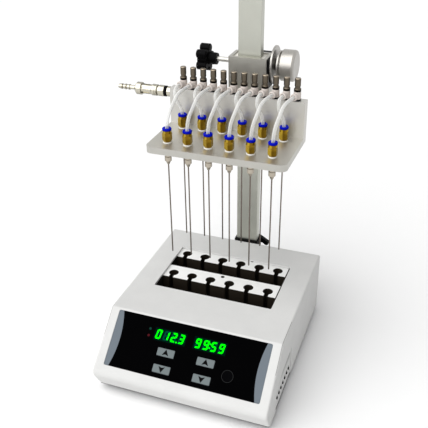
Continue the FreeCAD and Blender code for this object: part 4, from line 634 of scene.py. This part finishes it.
# Column and its socket
# A satin aluminium bar with a steel rack let into its rear face. It stands in a black painted
# socket behind the base unit, and a black knob with an arm clamps it there.
wear("column_bracket", moulded("bracket_paint", (0.004, 0.004, 0.004), 0.5, 1800.0, 0.2, 0.3,
                               specular=0.06))
wear("column", metal("satin_column", (0.47, 0.475, 0.425), 0.42, (2600, 2600, 50), 0.08, 0.08))
rack_steel = metal("rack_steel", (0.42, 0.42, 0.42), 0.35, (3000, 60, 60))
wear("rack", rack_steel)
wear("column_cap", black_moulding)
wear("clamp_knob", black_moulding)

# Carriage
# A square aluminium sleeve that slides on the column on two plastic liners. Behind it a black
# housing carries the pinion, and a lobed knob on the left locks it.
wear("carriage_sleeve", metal("satin_sleeve", (0.40, 0.39, 0.355), 0.42, (50, 50, 2600),
                              0.10, 0.08))
wear("slide_liners", moulded("liner_white", (0.72, 0.70, 0.64), 0.4))
wear("pinion_housing", black_moulding)
wear("pinion_shaft", rack_steel)
knob_black, lock_steel = (0.0016, 0.0016, 0.0018, 1), (0.50, 0.49, 0.46, 1)
hub_end_x = -0.0403           # right of the knob's hub the screw is bare


def lock_knob_finish():
    """The black moulded knob and, toward the sleeve, its bare steel screw."""
    made, tree, face = shader("lock_knob_finish")
    screw = reckon(tree, "GREATER_THAN", place_on_part(tree)["X"], hub_end_x)
    black = use(tree, mottled_finish, Colour=knob_black, Grain=2200.0, Contrast=0.25,
                Roughness=0.45, Height=0.25)
    dress(tree, face, black, blend(tree, screw, black.outputs["Colour"], lock_steel))
    tree.links.new(screw, face.inputs["Metallic"])
    face.inputs["Specular IOR Level"].default_value = 0.04
    return made


wear("lock_knob", lock_knob_finish())
wear("lock_pad", metal("pad_brass", (0.62, 0.42, 0.14), 0.35))
wear("head_arm", metal("satin_arm", (0.41, 0.40, 0.37), 0.42, (50, 2600, 50), 0.10, 0.08))
wear("handwheel", metal("turned_wheel", (0.385, 0.37, 0.345), 0.34, (2600, 50, 50), 0.08, 0.08))

# Gas head
# A thick aluminium plate with a rounded front carries the needles, and an upright one behind it
# is drilled as the gas manifold. Both are satin anodised.
head_lines = (2400, 60, 60)
wear("needle_plate", metal("satin_head", (0.49, 0.48, 0.445), 0.45, head_lines, 0.08, 0.08))
wear("gas_manifold", metal("satin_manifold", (0.56, 0.55, 0.52), 0.45, head_lines, 0.08, 0.08))
wear("head_screws", screw_steel)

# Valves
# Twelve little valves stand on the manifold: a black base, a white elbow body and a dark
# nickel-plated knob; two bands of painted shade mark the grooves at its waist, and a painted
# highlight brightens its turned top.
wear("valve_bases", black_moulding)
wear("valve_bodies", moulded("valve_white", (0.62, 0.56, 0.52), 0.45, 1500.0, 0.05, 0.1,
                             specular=0.3))
knob_foot_z, knob_top_z = 0.3162, 0.3358
# Tones up the knob: the two near-black bands are painted shade in its grooves, the top band a
# painted highlight.
knob_shade_and_highlight_bands = ((0.0, 0.17), (0.05, 0.02), (0.12, 0.38), (0.20, 0.008), (0.33, 0.125), (0.975, 0.36))
nickel_green, nickel_blue = 0.83, 0.62        # nickel's green and blue as shares of its red


def valve_nickel():
    """Nickel-plated brass; bands over the height paint shade into the grooves and a highlight onto
    the top.
    """
    made, tree, face = shader("knob_nickel")
    height = spread(tree, place_on_part(tree)["Z"], knob_foot_z, knob_top_z, 0.0, 1.0)
    ramp = add(tree, "ShaderNodeValToRGB", {0: height})
    bands = ramp.color_ramp
    bands.interpolation = "CONSTANT"
    bands.elements.remove(bands.elements[-1])
    for start, _ in knob_shade_and_highlight_bands[1:]:
        bands.elements.new(start)
    for element, (start, tone) in zip(bands.elements, knob_shade_and_highlight_bands):
        element.position = start
        element.color = (tone, tone * nickel_green, tone * nickel_blue, 1)
    look = use(tree, brushed_finish, Colour=ramp.outputs["Color"], Lines=(3500, 3500, 60),
               Contrast=0.5, Roughness=0.32, Height=0.3)
    dress(tree, face, look, rim(tree, look.outputs["Colour"], 0.6))
    face.inputs["Metallic"].default_value = 1.0
    return made


knob_nickel = valve_nickel()
for i in range(valve_count):
    wear("valve_knob_%02d" % (i + 1), knob_nickel)

# Fittings and needles
# Brass push-in fittings with blue release rings on white washers; under the plate each has a
# nickel hub with a long steel needle.
# Painted reflection: the brass is mixed between a bright and a brown tone round each fitting.
brass_highlight, brass_shade = (0.74, 0.52, 0.055, 1), (0.14, 0.065, 0.004, 1)
brass_sheen_waves = ((6, 0.0, 0.38), (2, 0.9, 0.34))    # waves round a fitting, where they start, swing


def from_middle(tree, value, middle, pitch):
    """How far a value is from the nearest of several middles, which are a pitch apart."""
    wrapped = reckon(tree, "WRAP", value, middle + pitch / 2, middle - pitch / 2)
    return reckon(tree, "SUBTRACT", wrapped, middle)


def brass_finish():
    """Bright brass with painted reflection: each fitting's six flats go from a light middle to
    brown corners, and one side is darker than the other.
    """
    made, tree, face = shader("bright_brass")
    place = place_on_part(tree)
    across = from_middle(tree, place["X"], work_x, well_pitch)
    back = from_middle(tree, place["Y"], front_row, rear_row - front_row)
    angle = reckon(tree, "ARCTAN2", back, across)
    tone = 0.50
    for count, start, swing in brass_sheen_waves:
        wave = reckon(tree, "COSINE", reckon(tree, "MULTIPLY_ADD", angle, count, start))
        tone = reckon(tree, "MULTIPLY_ADD", wave, swing, tone)
    look = use(tree, brushed_finish, Colour=blend(tree, tone, brass_shade, brass_highlight),
               Lines=(2000, 2000, 60), Contrast=0.12, Roughness=0.16, Height=0.05)
    dress(tree, face, look, rim(tree, look.outputs["Colour"], 0.6))
    face.inputs["Metallic"].default_value = 1.0
    return made


wear("fitting_bodies", brass_finish())
wear("release_rings", moulded("blue_ring", (0.0, 0.005, 0.43), 0.4, 2500.0, 0.08, 0.1,
                              specular=0.03))
wear("seal_washers", moulded("washer_white", (0.85, 0.85, 0.83), 0.45))
wear("needle_hubs", metal("hub_nickel", (0.48, 0.43, 0.355), 0.3, (2500, 2500, 60), dark=0.5))
wear("needles", metal("needle_steel", (0.165, 0.135, 0.115), 0.28, (3000, 3000, 40), 0.2, 0.1,
                      dark=0.6))

# Gas coupling
# A bright nickel-plated socket on the manifold's left end, with a sprung sleeve, and the hose
# plug in it.
coupling_nickel = metal("coupling_nickel", (0.56, 0.53, 0.44), 0.16, (60, 1200, 1200), 0.12, 0.08,
                        dark=0.7)
for name in ("coupler_socket", "coupler_sleeve", "hose_plug"):
    wear(name, coupling_nickel)
wear("coupler_seal", moulded("seal_rubber", (0.003, 0.003, 0.003), 0.55, specular=0.05))

# Floor and light
# A plain pale floor in white surroundings, and one very soft light from the upper left front.
# The view, mirrored metal and what is seen through a tube find the surroundings white, and all
# other light from them is weaker, so that the object isn't washed out.
floor_reach, white_strength, fill_strength = 6, 1.0, 0.42
key_spread, key_energy, key_from = math.radians(80), 2.9, Vector((-0.40, -0.537, 0.743))
floor_corners = [(x * floor_reach, y * floor_reach, 0)
                 for x, y in ((-1, -1), (1, -1), (1, 1), (-1, 1))]
floor_mesh = bpy.data.meshes.new("floor")
floor_mesh.from_pydata(floor_corners, [], [(0, 1, 2, 3)])
floor_mesh.materials.append(moulded("pale_floor", (0.93, 0.93, 0.93), 0.8, 300.0, 0.01, 0.0))
link("floor", floor_mesh)

world = bpy.data.worlds.new("studio")
world.use_nodes = True
bpy.context.scene.world = world
sky = world.node_tree
ray = add(sky, "ShaderNodeLightPath").outputs
seen = reckon(sky, "MAXIMUM", ray["Is Camera Ray"], ray["Is Transmission Ray"])
seen = reckon(sky, "MAXIMUM", seen, ray["Is Glossy Ray"])
background = sky.nodes["Background"].inputs
sky.links.new(spread(sky, seen, 0.0, 1.0, fill_strength, white_strength), background["Strength"])
background["Color"].default_value = (1, 1, 1, 1)

soft_key = bpy.data.lights.new("soft_key", "SUN")
soft_key.angle = key_spread
soft_key.energy = key_energy
key_lamp = link("soft_key", soft_key)
key_lamp.rotation_euler = key_from.to_track_quat("Z", "Y").to_euler()
